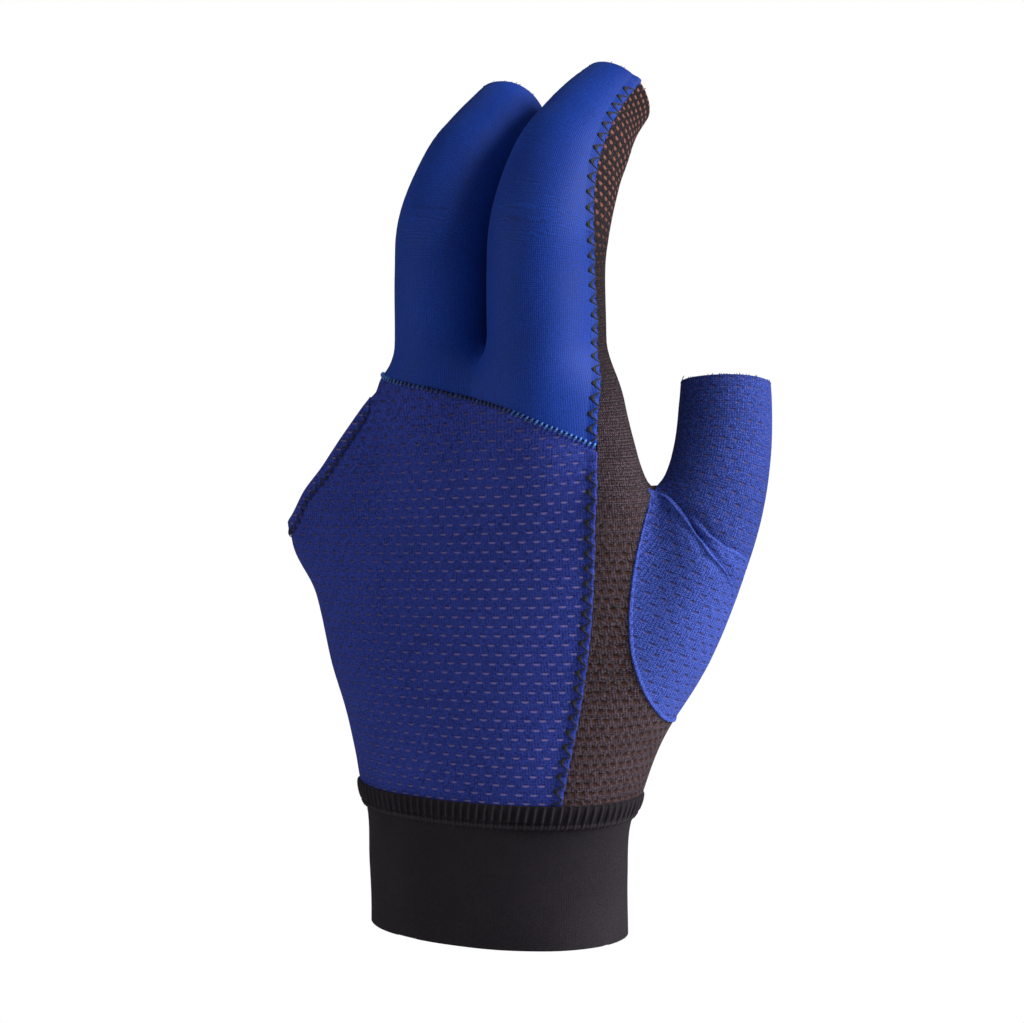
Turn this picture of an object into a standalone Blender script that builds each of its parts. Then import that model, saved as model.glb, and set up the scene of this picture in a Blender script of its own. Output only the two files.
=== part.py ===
"""Three-finger billiard glove for a left hand, in the shape it takes when it is worn.

The glove is open at the wrist, at the thumb, index and middle fingertips, and on the side of the
ring and little fingers. Lengths are in millimetres and become metres when a mesh is made.
+Z runs from the wrist to the fingers, +X points to the thumb side, -Y is the back of the hand and
+Y the palm. The origin is the centre of the wrist opening.

One field gives the form of the gloved hand: it is negative inside the cloth's outer surface. Every
panel is a piece of that surface, cut along the seams and given a wall.
"""

import math

import bpy
import numpy as np

# Driving sizes
WRIST_WIDTH = 60.4
WRIST_DEPTH = 42.0
PALM_WIDTH = 89.4
PALM_DEPTH = 31.6
CUFF_HEIGHT = 26.6
BAND_HEIGHT = 4.8
FINGER_BASE = 119.0

INDEX_REACH = 65.8
INDEX_CURL = 27.0
INDEX_WIDTH = 24.0
INDEX_DEPTH = 28.4
MIDDLE_REACH = 64.0
MIDDLE_CURL = 28.0
MIDDLE_WIDTH = 22.2
MIDDLE_DEPTH = 26.8
STUB_WIDTH = 20.0
FINGER_GAP = 1.2

THUMB_HEIGHT = 120.6
THUMB_SPREAD = 44.6
THUMB_REACH = 24.0
THUMB_WIDTH = 20.4

MESH_WALL = 1.1
SMOOTH_WALL = 1.3
CUFF_WALL = 1.8
BAND_WALL = 2.4
BAND_RAISE = 0.7
HEM_WALL = 1.7
HEM_RAISE = 0.3
HEM_WIDTH = 2.6
HEM_END = 1.5
SEAM_GAP = 0.34

# Mesh size of the panels, and how near a corner is to a seam before it moves onto it
CELL = 4.7
SNAP = 0.32
# Axis points for each row of a finger's table, and rounds of evening out the mesh
POINTS_PER_ROW = 6
RELAX_ROUNDS = 4
FORM_ROUNDS = 3
# How far the mesh's lattice reaches, in shares of PALM_WIDTH and PALM_DEPTH
LATTICE_LEFT = 0.50
LATTICE_RIGHT = 0.72
LATTICE_FRONT = 1.60

# Blend radii of the form, where one part of the hand runs into another
KNUCKLE_BLEND = 7.0
THUMB_BLEND = 8.0
CROTCH_BLEND = 1.8
CAP_BLEND = 7.0
# How square the fingers' sections are, where 2 is an ellipse, and how far their form runs on
TUBE_POWER = 2.15
RUN_ON = 6.0

# The hand from the wrist up. Heights are shares of FINGER_BASE, middle is a share of PALM_WIDTH,
# width and depth run from the wrist's (0) to the palm's (1), and power rounds the section.
HAND_ROWS = (
    # height, middle, width, depth, power
    (-0.080, 0.000, 0.000, 0.000, 2.10),
    (0.110, 0.000, 0.000, 0.000, 2.10),
    (0.205, 0.000, 0.040, -0.020, 2.10),
    (0.265, 0.000, 0.190, -0.080, 2.12),
    (0.310, -0.002, 0.240, -0.040, 2.15),
    (0.365, -0.010, 0.300, 0.020, 2.20),
    (0.475, -0.034, 0.480, 0.220, 2.25),
    (0.585, -0.056, 0.630, 0.560, 2.30),
    (0.695, -0.078, 0.830, 0.900, 2.35),
    (0.745, -0.085, 0.880, 1.000, 2.40),
    (0.820, -0.094, 0.930, 1.060, 2.40),
    (0.885, -0.112, 0.880, 1.130, 2.40),
    (1.010, -0.130, 0.700, 1.320, 2.35),
    (1.200, -0.140, 0.560, 1.500, 2.30),
)

# Top of the palm's form, hidden between and beside the fingers: across is a share of PALM_WIDTH
# from the wrist's middle, height a share of FINGER_BASE.
CAP_ROWS = (
    # across, height
    (-0.62, 0.885),
    (-0.52, 0.925),
    (-0.38, 0.985),
    (-0.22, 1.020),
    (0.02, 1.040),
    (0.30, 1.030),
)

# Finger axes. Heights are shares of the finger's reach above FINGER_BASE, apart is how far the
# finger's side stands off its neighbour's beyond FINGER_GAP, as a share of the finger's width,
# curl a share of the finger's curl towards the palm; width and depth are shares of its own.
INDEX_ROWS = (
    # height, apart, curl, width, depth
    (-0.450, 0.000, 0.000, 0.86, 0.86),
    (-0.200, 0.000, -0.030, 0.97, 0.97),
    (0.000, 0.000, -0.060, 1.00, 1.00),
    (0.180, 0.000, -0.080, 0.99, 1.00),
    (0.380, 0.000, -0.105, 0.98, 1.00),
    (0.530, 0.000, -0.085, 1.00, 0.99),
    (0.700, 0.015, 0.110, 0.96, 0.90),
    (0.800, 0.045, 0.310, 0.89, 0.80),
    (0.895, 0.095, 0.570, 0.79, 0.68),
    (1.000, 0.190, 0.930, 0.68, 0.55),
)
MIDDLE_ROWS = (
    # height, apart, curl, width, depth
    (-0.450, 0.000, 0.000, 0.86, 0.86),
    (-0.200, 0.000, -0.040, 0.97, 0.97),
    (0.000, 0.000, -0.070, 1.00, 1.00),
    (0.180, 0.000, -0.090, 0.99, 1.00),
    (0.380, 0.000, -0.110, 0.98, 1.00),
    (0.530, 0.000, -0.070, 1.00, 0.99),
    (0.700, 0.015, 0.150, 0.96, 0.90),
    (0.800, 0.045, 0.350, 0.89, 0.80),
    (0.895, 0.100, 0.600, 0.79, 0.70),
    (1.000, 0.190, 0.930, 0.70, 0.58),
)
# The ring and little fingers are bare: only their roots shape the cloth beside them.
RING_ROWS = (
    # height, apart, curl, width, depth
    (-0.450, 0.000, 0.000, 0.90, 1.05),
    (0.000, 0.000, 0.100, 1.00, 1.20),
    (0.220, 0.000, 0.300, 1.00, 1.15),
)
LITTLE_ROWS = (
    # height, apart, curl, width, depth
    (-0.550, -0.200, 0.080, 0.80, 1.00),
    (-0.150, -0.160, 0.200, 0.85, 1.05),
    (0.080, -0.100, 0.450, 0.85, 1.00),
)
# The valley between the index and middle fingers: heights as above, across a share of PALM_WIDTH.
VALLEY_ROWS = (
    # height, across
    (-0.450, 0.0130),
    (0.380, 0.0140),
    (0.530, 0.0195),
    (0.700, 0.0270),
    (0.800, 0.0370),
    (0.895, 0.0450),
    (1.000, 0.0580),
)
# Thumb axis. Heights are shares of THUMB_HEIGHT, spread of THUMB_SPREAD, reach of THUMB_REACH.
THUMB_ROWS = (
    # height, spread, reach, width, depth
    (0.250, 0.270, 0.080, 0.84, 0.86),
    (0.330, 0.400, 0.180, 1.20, 1.20),
    (0.420, 0.545, 0.270, 1.30, 1.36),
    (0.530, 0.710, 0.390, 1.32, 1.40),
    (0.630, 0.840, 0.500, 1.25, 1.34),
    (0.720, 0.935, 0.610, 1.13, 1.20),
    (0.800, 0.985, 0.720, 1.07, 1.06),
    (0.880, 1.000, 0.830, 1.02, 1.00),
    (0.950, 0.985, 0.940, 0.98, 0.95),
    (1.000, 0.970, 1.000, 0.93, 0.91),
)
# The two folds that the thumb's sleeve throws at the web, along their lowest lines. Shares as
# above, and depth is a share of FOLD_DEPTH.
FOLD_DEPTH = 1.3
FOLD_WIDTH = 3.0
WEB_FOLDS = (
    (
        # height, spread, reach, depth
        (0.822, 0.800, 0.190, 0.45),
        (0.795, 0.900, 0.165, 0.85),
        (0.752, 1.010, 0.155, 1.00),
        (0.705, 1.095, 0.200, 0.90),
        (0.655, 1.140, 0.430, 0.55),
        (0.612, 1.120, 0.670, 0.00),
    ),
    (
        # height, spread, reach, depth
        (0.770, 0.985, 0.150, 0.20),
        (0.740, 1.070, 0.190, 0.70),
        (0.712, 1.135, 0.350, 0.75),
        (0.685, 1.177, 0.640, 0.30),
        (0.660, 1.150, 0.860, 0.00),
    ),
)


def spline(rows, x, column):
    """Smooth curve through one column of a table against its first, straight past both ends."""
    table = np.asarray(rows, float)
    knots, values = table[:, 0], table[:, column]
    slopes = np.gradient(values, knots)
    x = np.asarray(x, float)
    k = np.clip(np.searchsorted(knots, x) - 1, 0, len(knots) - 2)
    step = knots[k + 1] - knots[k]
    u = (x - knots[k]) / step
    v = np.clip(u, 0, 1)
    curve = (
        (2 * v**3 - 3 * v**2 + 1) * values[k]
        + (v**3 - 2 * v**2 + v) * step * slopes[k]
        + (3 * v**2 - 2 * v**3) * values[k + 1]
        + (v**3 - v**2) * step * slopes[k + 1]
    )
    return curve + (u - v) * step * np.where(u < 0, slopes[0], slopes[-1])


def unit(vectors):
    return vectors / np.maximum(np.linalg.norm(vectors, axis=-1, keepdims=True), 1e-9)


def section_distance(u, v, half_width, half_depth, power):
    """Distance from a rounded section, near enough to its surface."""
    p, q = np.abs(u) / half_width, np.abs(v) / half_depth
    size = (p**power + q**power + 1e-12) ** (1 / power)
    slope = np.hypot((p / size) ** (power - 1) / half_width, (q / size) ** (power - 1) / half_depth)
    return (size - 1) / np.maximum(slope, 1 / (2 * np.maximum(half_width, half_depth)))


def join(a, b, radius):
    """Smooth union of two distances."""
    h = np.clip(0.5 + 0.5 * (b - a) / radius, 0, 1)
    return b + (a - b) * h - radius * h * (1 - h)


def hand_section(z):
    """Middle, half width, half depth and power of the hand's section at a height."""
    share = z / FINGER_BASE
    width = WRIST_WIDTH + (PALM_WIDTH - WRIST_WIDTH) * spline(HAND_ROWS, share, 2)
    depth = WRIST_DEPTH + (PALM_DEPTH - WRIST_DEPTH) * spline(HAND_ROWS, share, 3)
    middle = spline(HAND_ROWS, share, 1) * PALM_WIDTH
    return middle, width / 2, depth / 2, spline(HAND_ROWS, share, 4)


class Tube:
    """A finger: a curved axis with an oval section that changes along it."""

    def __init__(self, points, half_width, half_depth):
        self.last = round(POINTS_PER_ROW * len(points)) - 1
        steps = np.linspace(0, 1, self.last + 1)
        knots = np.linspace(0, 1, len(points))
        rows = np.column_stack([knots, points, half_width, half_depth])
        curve = [spline(rows, steps, column) for column in (1, 2, 3)]
        axis = np.column_stack(curve)
        sizes = np.column_stack([spline(rows, steps, column) for column in (4, 5)])
        end = unit(axis[-1] - axis[-2])
        more = axis[-1] + np.outer(RUN_ON * np.linspace(0, 1, len(points))[1:], end)
        self.axis = np.vstack([axis, more])
        self.sizes = np.vstack([sizes, np.repeat(sizes[-1:], len(more), axis=0)])
        self.tangent = unit(np.gradient(self.axis, axis=0))
        side = np.array([1.0, 0.0, 0.0])
        self.across = unit(side - self.tangent * (self.tangent @ side)[:, None])
        self.depth = np.cross(self.tangent, self.across)

    def nearest(self, points):
        """Position along the axis, in axis points, of the place nearest to each point."""
        far = (self.axis**2).sum(1) - 2 * points @ self.axis.T
        k = np.clip(far.argmin(1), 1, len(self.axis) - 2)
        found = []
        for first in (k - 1, k):
            run = self.axis[first + 1] - self.axis[first]
            away = points - self.axis[first]
            t = np.clip((away * run).sum(1) / (run**2).sum(1), 0, 1)
            found.append((first + t, ((away - run * t[:, None]) ** 2).sum(1)))
        (before, before_far), (after, after_far) = found
        return np.where(after_far < before_far, after, before)

    def at(self, position, table):
        k = np.clip(position.astype(int), 0, len(self.axis) - 2)
        t = (position - k)[:, None]
        return table[k] * (1 - t) + table[k + 1] * t

    def distance(self, points):
        position = self.nearest(points)
        away = points - self.at(position, self.axis)
        u = (away * unit(self.at(position, self.across))).sum(1)
        v = (away * unit(self.at(position, self.depth))).sum(1)
        before = np.maximum(-(points - self.axis[0]) @ self.tangent[0], 0)
        after = np.maximum((points - self.axis[-1]) @ self.tangent[-1], 0)
        size = self.at(position, self.sizes)
        u = np.hypot(u, before + after)
        return section_distance(u, v, size[:, 0], size[:, 1], TUBE_POWER)


def valley(z):
    """Across position of the gap between the index and middle fingers."""
    return spline(VALLEY_ROWS, (z - FINGER_BASE) / INDEX_REACH, 1) * PALM_WIDTH


def finger_tube(rows, reach, curl, width, depth, side, beside):
    """A finger on one side (+1 or -1) of the line beside, which gives across for a height."""
    table = np.asarray(rows, float)
    z = FINGER_BASE + table[:, 0] * reach
    half = table[:, 3] * width / 2
    across = beside(z) + side * (FINGER_GAP / 2 + table[:, 1] * width + half)
    points = np.column_stack([across, table[:, 2] * curl, z])
    return Tube(points, half, table[:, 4] * depth / 2)


def far_side(tube, side):
    """The line along a finger's side where its neighbour begins."""

    def line(z):
        x = tube.axis[:, 0] + side * (tube.sizes[:, 0] + FINGER_GAP / 2)
        return np.interp(z, tube.axis[:, 2], x)

    return line


def thumb_tube():
    table = np.asarray(THUMB_ROWS, float)
    points = np.column_stack(
        [table[:, 1] * THUMB_SPREAD, table[:, 2] * THUMB_REACH, table[:, 0] * THUMB_HEIGHT]
    )
    return Tube(points, table[:, 3] * THUMB_WIDTH / 2, table[:, 4] * THUMB_WIDTH / 2)


INDEX = finger_tube(INDEX_ROWS, INDEX_REACH, INDEX_CURL, INDEX_WIDTH, INDEX_DEPTH, 1, valley)
MIDDLE = finger_tube(MIDDLE_ROWS, MIDDLE_REACH, MIDDLE_CURL, MIDDLE_WIDTH, MIDDLE_DEPTH, -1, valley)
BESIDE_MIDDLE = far_side(MIDDLE, -1)
RING = finger_tube(
    RING_ROWS, MIDDLE_REACH, MIDDLE_CURL, STUB_WIDTH, STUB_WIDTH, -1, BESIDE_MIDDLE
)
LITTLE = finger_tube(
    LITTLE_ROWS, MIDDLE_REACH, MIDDLE_CURL, STUB_WIDTH, STUB_WIDTH, -1, far_side(RING, -1)
)
THUMB = thumb_tube()


def fold_depth(points):
    """How far the folds at the thumb's web sink the cloth."""
    sunk = np.zeros(len(points))
    near = np.flatnonzero((points[:, 0] > THUMB_SPREAD / 2) & (points[:, 2] > THUMB_HEIGHT / 2))
    p = points[near]
    for rows in WEB_FOLDS:
        table = np.asarray(rows, float)
        line = table[:, [1, 2, 0]] * (THUMB_SPREAD, THUMB_REACH, THUMB_HEIGHT)
        here = np.zeros(len(p))
        for a, b, start, end in zip(line, line[1:], table[:, 3], table[1:, 3]):
            t = np.clip((p - a) @ (b - a) / ((b - a) @ (b - a)), 0, 1)
            away = ((p - a - t[:, None] * (b - a)) ** 2).sum(1)
            reach = (FOLD_WIDTH / 2) ** 2
            here = np.maximum(here, (start + (end - start) * t) * np.exp(-away / reach))
        sunk[near] += here * FOLD_DEPTH
    return sunk


def form(points):
    """The gloved hand's field: negative inside, 0 on the cloth's outer surface."""
    x, y, z = points.T
    middle, half_width, half_depth, power = hand_section(z)
    palm = section_distance(x - middle, y, half_width, half_depth, power)
    cap = z - spline(CAP_ROWS, x / PALM_WIDTH, 1) * FINGER_BASE
    palm = -join(-palm, -cap, CAP_BLEND)
    fingers = join(INDEX.distance(points), MIDDLE.distance(points), CROTCH_BLEND)
    roots = join(RING.distance(points), LITTLE.distance(points), CROTCH_BLEND)
    fingers = join(fingers, roots, CROTCH_BLEND)
    hand = join(palm, fingers, KNUCKLE_BLEND)
    return join(hand, THUMB.distance(points), THUMB_BLEND) + fold_depth(points)


def normals_of(points, step=0.15):
    sides = [form(points + shift) - form(points - shift) for shift in np.eye(3) * step]
    return unit(np.column_stack(sides))


# Seams. Each value below is positive on the side of the piece that keeps its name.

# Rim beside the ring and little fingers and the seam over the knuckles: across as a share of
# PALM_WIDTH, height as a share of FINGER_BASE.
RIM_ROWS = (
    # across, height
    (-0.620, 0.722),
    (-0.565, 0.737),
    (-0.527, 0.757),
    (-0.481, 0.802),
    (-0.413, 0.851),
    (-0.338, 0.918),
    (-0.264, 0.984),
    (-0.211, 1.017),
    (-0.100, 1.080),
)
KNUCKLE_ROWS = (
    # across, height
    (-0.300, 1.030),
    (-0.211, 1.017),
    (-0.079, 1.002),
    (0.019, 0.986),
    (0.141, 0.967),
    (0.234, 0.939),
    (0.313, 0.909),
)
# Edge of the back's panels along the thumb side: height as a share of FINGER_BASE, depth as a
# share of PALM_DEPTH, from the middle of the hand.
SIDE_ROWS = (
    # height, depth
    (0.200, -0.490),
    (0.303, -0.468),
    (0.411, -0.421),
    (0.491, -0.383),
    (0.597, -0.332),
    (0.703, -0.310),
    (0.810, -0.297),
    (0.888, -0.256),
    (0.985, -0.190),
    (1.060, -0.080),
)
# The same edge along the index finger: height as a share of INDEX_REACH above FINGER_BASE, depth
# as a share of INDEX_DEPTH from the finger's axis.
INDEX_SIDE_ROWS = (
    # height, depth
    (0.000, -0.120),
    (0.160, 0.015),
    (0.320, 0.000),
    (0.467, -0.050),
    (0.610, -0.160),
    (0.705, -0.220),
    (0.802, -0.270),
    (0.950, -0.285),
)
# Seam round the thumb: height as a share of THUMB_HEIGHT, across as a share of THUMB_SPREAD.
THUMB_SEAM_ROWS = (
    # height, across
    (0.350, 1.080),
    (0.391, 0.925),
    (0.425, 0.868),
    (0.509, 0.778),
    (0.589, 0.753),
    (0.641, 0.760),
    (0.745, 0.798),
    (0.816, 0.836),
    (0.900, 0.840),
    (1.000, 0.840),
)
THUMB_SEAM_TILT = 0.33
# Where the back's mesh ends on the palm side of the little finger's edge, a share of PALM_WIDTH
WRAP_ACROSS = -0.37
WRAP_SLOPE = 4.0
# Depth of the seam between and beside the fingers, a share of the finger's depth
INNER_SEAM = 0.12
# Fingertip openings, a share of each reach from the end of the finger's table
INDEX_TRIM = 0.040
MIDDLE_TRIM = 0.072
THUMB_TRIM = 0.010
# The tips' cuts reach down to these shares of the fingers' reach, THUMB_SPREAD and THUMB_HEIGHT
TIP_FROM = 0.40
THUMB_TIP_ACROSS = 0.70
THUMB_TIP_FROM = 0.85


def above_wrist(p):
    return p[:, 2]


def above_cuff(p):
    return p[:, 2] - CUFF_HEIGHT


def above_band(p):
    return p[:, 2] - CUFF_HEIGHT - BAND_HEIGHT


def before_tip(tube, trim, p):
    end = tube.at(np.array([tube.last * (1 - trim)]), tube.axis)[0]
    return (end - p) @ tube.tangent[tube.last]


def inside_index(p):
    own = (p[:, 0] > valley(p[:, 2])) & (p[:, 2] > FINGER_BASE + TIP_FROM * INDEX_REACH)
    return np.where(own, before_tip(INDEX, INDEX_TRIM, p), CELL)


def inside_middle(p):
    own = (p[:, 0] < valley(p[:, 2])) & (p[:, 2] > FINGER_BASE + TIP_FROM * MIDDLE_REACH)
    own &= p[:, 0] > BESIDE_MIDDLE(p[:, 2])
    return np.where(own, before_tip(MIDDLE, MIDDLE_TRIM, p), CELL)


def inside_thumb(p):
    own = (p[:, 0] > THUMB_TIP_ACROSS * THUMB_SPREAD) & (p[:, 2] > THUMB_TIP_FROM * THUMB_HEIGHT)
    return np.where(own, before_tip(THUMB, THUMB_TRIM, p), CELL)


def under_rim(p):
    """How far points lie under the line of the rim, across its slope."""
    share = p[:, 0] / PALM_WIDTH
    height = spline(RIM_ROWS, share, 1) * FINGER_BASE
    rise = (spline(RIM_ROWS, share + 0.01, 1) * FINGER_BASE - height) / (0.01 * PALM_WIDTH)
    return (height - p[:, 2]) / np.hypot(1, rise)


def below_rim(p):
    return np.maximum(under_rim(p), p[:, 0] - BESIDE_MIDDLE(p[:, 2]))


def below_hem(p):
    return np.maximum(under_rim(p) - HEM_WIDTH, p[:, 0] - BESIDE_MIDDLE(p[:, 2]) + HEM_END)


def beyond_thumb_seam(p):
    across = spline(THUMB_SEAM_ROWS, p[:, 2] / THUMB_HEIGHT, 1) * THUMB_SPREAD
    return across - p[:, 0] - THUMB_SEAM_TILT * p[:, 1]


def along(tube, z, table, column):
    """A value of a finger at the height z of its axis."""
    return np.interp(z, tube.axis[:, 2], table[:, column])


def on_back(p):
    x, y, z = p.T
    share = np.clip((z - FINGER_BASE) / INDEX_REACH, -0.2, 1.2)
    finger_edge = spline(INDEX_SIDE_ROWS, share, 1) * INDEX_DEPTH
    index_x = along(INDEX, z, INDEX.axis, 0)
    side = np.clip(0.5 + 0.5 * (x - index_x) / along(INDEX, z, INDEX.sizes, 0), 0, 1)
    index_edge = INNER_SEAM * INDEX_DEPTH * (1 - side) + finger_edge * side
    index_edge = index_edge + along(INDEX, z, INDEX.axis, 1)
    middle_edge = along(MIDDLE, z, MIDDLE.axis, 1) + INNER_SEAM * MIDDLE_DEPTH
    fingers = np.where(x > valley(z), index_edge, middle_edge)
    palm_edge = spline(SIDE_ROWS, z / FINGER_BASE, 1) * PALM_DEPTH * side
    rise = np.clip((z / FINGER_BASE - SIDE_ROWS[-2][0]) / (SIDE_ROWS[-1][0] - SIDE_ROWS[-2][0]), 0, 1)
    edge = palm_edge * (1 - rise) + fingers * rise
    edge = edge + WRAP_SLOPE * np.maximum(WRAP_ACROSS * PALM_WIDTH - x, 0)
    return edge - y


def above_knuckles(p):
    return p[:, 2] - spline(KNUCKLE_ROWS, p[:, 0] / PALM_WIDTH, 1) * FINGER_BASE


def form_lattice(cell):
    """Points of a box lattice whose planes follow the gaps on both sides of the middle finger."""
    top = FINGER_BASE + INDEX_REACH + INDEX_WIDTH
    z = np.arange(-1.5 * cell, top, cell)
    y = np.arange(-PALM_DEPTH - cell, LATTICE_FRONT * PALM_DEPTH + cell, cell)
    steps = max(round((valley(FINGER_BASE) - BESIDE_MIDDLE(FINGER_BASE)) / cell), 2)
    left = math.ceil(LATTICE_LEFT * PALM_WIDTH / cell)
    right = math.ceil(LATTICE_RIGHT * PALM_WIDTH / cell)
    plane = np.arange(-left - steps, right + 1)
    inner, outer = valley(z)[:, None], BESIDE_MIDDLE(z)[:, None]
    x = np.where(plane > 0, inner + plane * cell, inner + (inner - outer) * plane / steps)
    x = np.where(plane < -steps, outer + (plane + steps) * cell, x)
    points = np.empty((len(plane), len(y), len(z), 3))
    points[..., 0] = x.T[:, None, :]
    points[..., 1] = y[None, :, None]
    points[..., 2] = z[None, None, :]
    return points


def form_quads(cell):
    """The form's surface as quads: one corner in each lattice box that the surface crosses."""
    points = form_lattice(cell)
    value = form(points.reshape(-1, 3)).reshape(points.shape[:3])
    inside = value < 0
    boxes = tuple(n - 1 for n in value.shape)
    total = np.zeros(boxes + (3,))
    count = np.zeros(boxes)
    crossings = []
    for axis in range(3):
        low = [slice(None)] * 3
        high = [slice(None)] * 3
        low[axis], high[axis] = slice(0, -1), slice(1, None)
        low, high = tuple(low), tuple(high)
        crosses = inside[low] != inside[high]
        share = value[low] / np.where(crosses, value[low] - value[high], 1)
        where = points[low] + (points[high] - points[low]) * share[..., None]
        for first in (0, 1):
            for second in (0, 1):
                part = [slice(None)] * 3
                others = [k for k in range(3) if k != axis]
                for k, shift in zip(others, (first, second)):
                    part[k] = slice(shift, shift + boxes[k])
                part = tuple(part)
                total += np.where(crosses[part][..., None], where[part], 0)
                count += crosses[part]
        crossings.append((axis, crosses, inside[low]))
    used = count > 0
    number = np.full(boxes, -1)
    number[used] = np.arange(used.sum())
    corners = total[used] / count[used][:, None]
    quads = []
    for axis, crosses, inner in crossings:
        i = np.argwhere(crosses)
        others = [k for k in range(3) if k != axis]
        a, b = others
        keep = (i[:, a] > 0) & (i[:, b] > 0) & (i[:, a] < boxes[a]) & (i[:, b] < boxes[b])
        i = i[keep]
        turn = inner[tuple(i.T)] ^ (axis == 1)
        ring = []
        for da, db in ((1, 1), (0, 1), (0, 0), (1, 0)):
            box = i.copy()
            box[:, a] -= da
            box[:, b] -= db
            ring.append(number[tuple(box.T)])
        ring = np.column_stack(ring)
        quads.append(np.where(turn[:, None], ring, ring[:, ::-1]))
    return corners, np.vstack(quads)


def to_form(points, rounds=FORM_ROUNDS):
    for _ in range(round(rounds)):
        points = points - np.clip(form(points), -1, 1)[:, None] * normals_of(points)
    return points


def relax(points, quads):
    """Evens out the quads without leaving the form."""
    ends = np.vstack([quads[:, [k, (k + 1) % 4]] for k in range(4)])
    for _ in range(round(RELAX_ROUNDS)):
        total = np.zeros_like(points)
        count = np.zeros(len(points))
        for a, b in ((0, 1), (1, 0)):
            np.add.at(total, ends[:, a], points[ends[:, b]])
            np.add.at(count, ends[:, a], 1)
        moved = to_form(points + 0.5 * (total / count[:, None] - points), 2)
        good = np.abs(form(moved)) < 0.1
        points = np.where(good[:, None], moved, points)
    return to_form(points)


def triangles(points, quads):
    a, b, c, d = (points[quads[:, k]] for k in range(4))
    short = np.linalg.norm(a - c, axis=1) <= np.linalg.norm(b - d, axis=1)
    first = np.where(short[:, None], quads[:, [0, 1, 2]], quads[:, [0, 1, 3]])
    second = np.where(short[:, None], quads[:, [0, 2, 3]], quads[:, [1, 2, 3]])
    return np.vstack([first, second])


def slope_along(points, seam, step=0.1):
    """How a seam's value changes along the form."""
    slope = [seam(points + shift) - seam(points - shift) for shift in np.eye(3) * step]
    slope = np.column_stack(slope) / (2 * step)
    normal = normals_of(points)
    return slope - normal * (slope * normal).sum(1)[:, None]


def slide_onto(points, seam):
    """Moves points along the form onto a seam."""
    for _ in range(round(RELAX_ROUNDS)):
        slope = slope_along(points, seam)
        size = np.maximum((slope**2).sum(1), 0.1)
        points = to_form(points - slope * (seam(points) / size)[:, None], 1)
    return points


class Surface:
    """The form's triangles, each with the name of the piece that it belongs to."""

    def __init__(self, cell):
        points, quads = form_quads(cell)
        self.points = relax(to_form(points), quads)
        self.faces = triangles(self.points, quads)
        self.names = np.full(len(self.faces), "panel", dtype=object)
        self.on_seam = np.zeros(len(self.points), bool)
        self.cell = cell

    def cut(self, name, seam, other):
        """Cuts the named piece along a seam; the part where the seam is negative is renamed."""
        chosen = self.names == name
        used = np.unique(self.faces[chosen])
        value = np.zeros(len(self.points))
        value[used] = seam(self.points[used])
        slope = slope_along(self.points[used], seam)
        size = np.linalg.norm(slope, axis=1)
        near = np.abs(value[used]) < SNAP * self.cell * size
        near = used[near & (size > 0.5) & ~self.on_seam[used]]
        if len(near):
            self.points[near] = slide_onto(self.points[near], seam)
            value[near] = 0
            self.on_seam[near] = True
        value[np.abs(value) < 1e-6] = 0
        faces = self.faces[chosen]
        ends = np.vstack([faces[:, [0, 1]], faces[:, [1, 2]], faces[:, [2, 0]]])
        ends = np.unique(np.sort(ends, axis=1), axis=0)
        ends = ends[value[ends[:, 0]] * value[ends[:, 1]] < 0]
        first = len(self.points)
        middle = {}
        if len(ends):
            share = value[ends[:, 0]] / (value[ends[:, 0]] - value[ends[:, 1]])
            run = self.points[ends[:, 1]] - self.points[ends[:, 0]]
            made = to_form(self.points[ends[:, 0]] + run * share[:, None], 2)
            middle = {tuple(pair): first + k for k, pair in enumerate(ends.tolist())}
            self.points = np.vstack([self.points, made])
            self.on_seam = np.concatenate([self.on_seam, np.ones(len(made), bool)])
            value = np.concatenate([value, np.zeros(len(made))])
        pieces = []
        for face in faces.tolist():
            pieces += split_face(face, value, middle)
        pieces = np.array(pieces)
        keep = value[pieces].sum(1) >= 0
        named = np.where(keep, name, other).astype(object)
        self.faces = np.vstack([self.faces[~chosen], pieces])
        self.names = np.concatenate([self.names[~chosen], named])


def split_face(face, value, middle):
    """A triangle, or the two or three that a seam cuts it into."""

    def between(a, b):
        return middle[(min(a, b), max(a, b))]

    sides = [value[k] for k in face]
    if min(sides) >= 0 or max(sides) <= 0:
        return [face]
    if 0 in sides:
        k = sides.index(0)
        a, b, c = face[k], face[(k + 1) % 3], face[(k + 2) % 3]
        m = between(b, c)
        return [[a, b, m], [a, m, c]]
    alone = [k for k in range(3) if sides[k] * sides[(k + 1) % 3] < 0 and sides[k] * sides[k - 1] < 0]
    k = alone[0]
    a, b, c = face[k], face[(k + 1) % 3], face[(k + 2) % 3]
    m, n = between(a, b), between(a, c)
    return [[a, m, n], [m, b, n], [b, c, n]]


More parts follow.
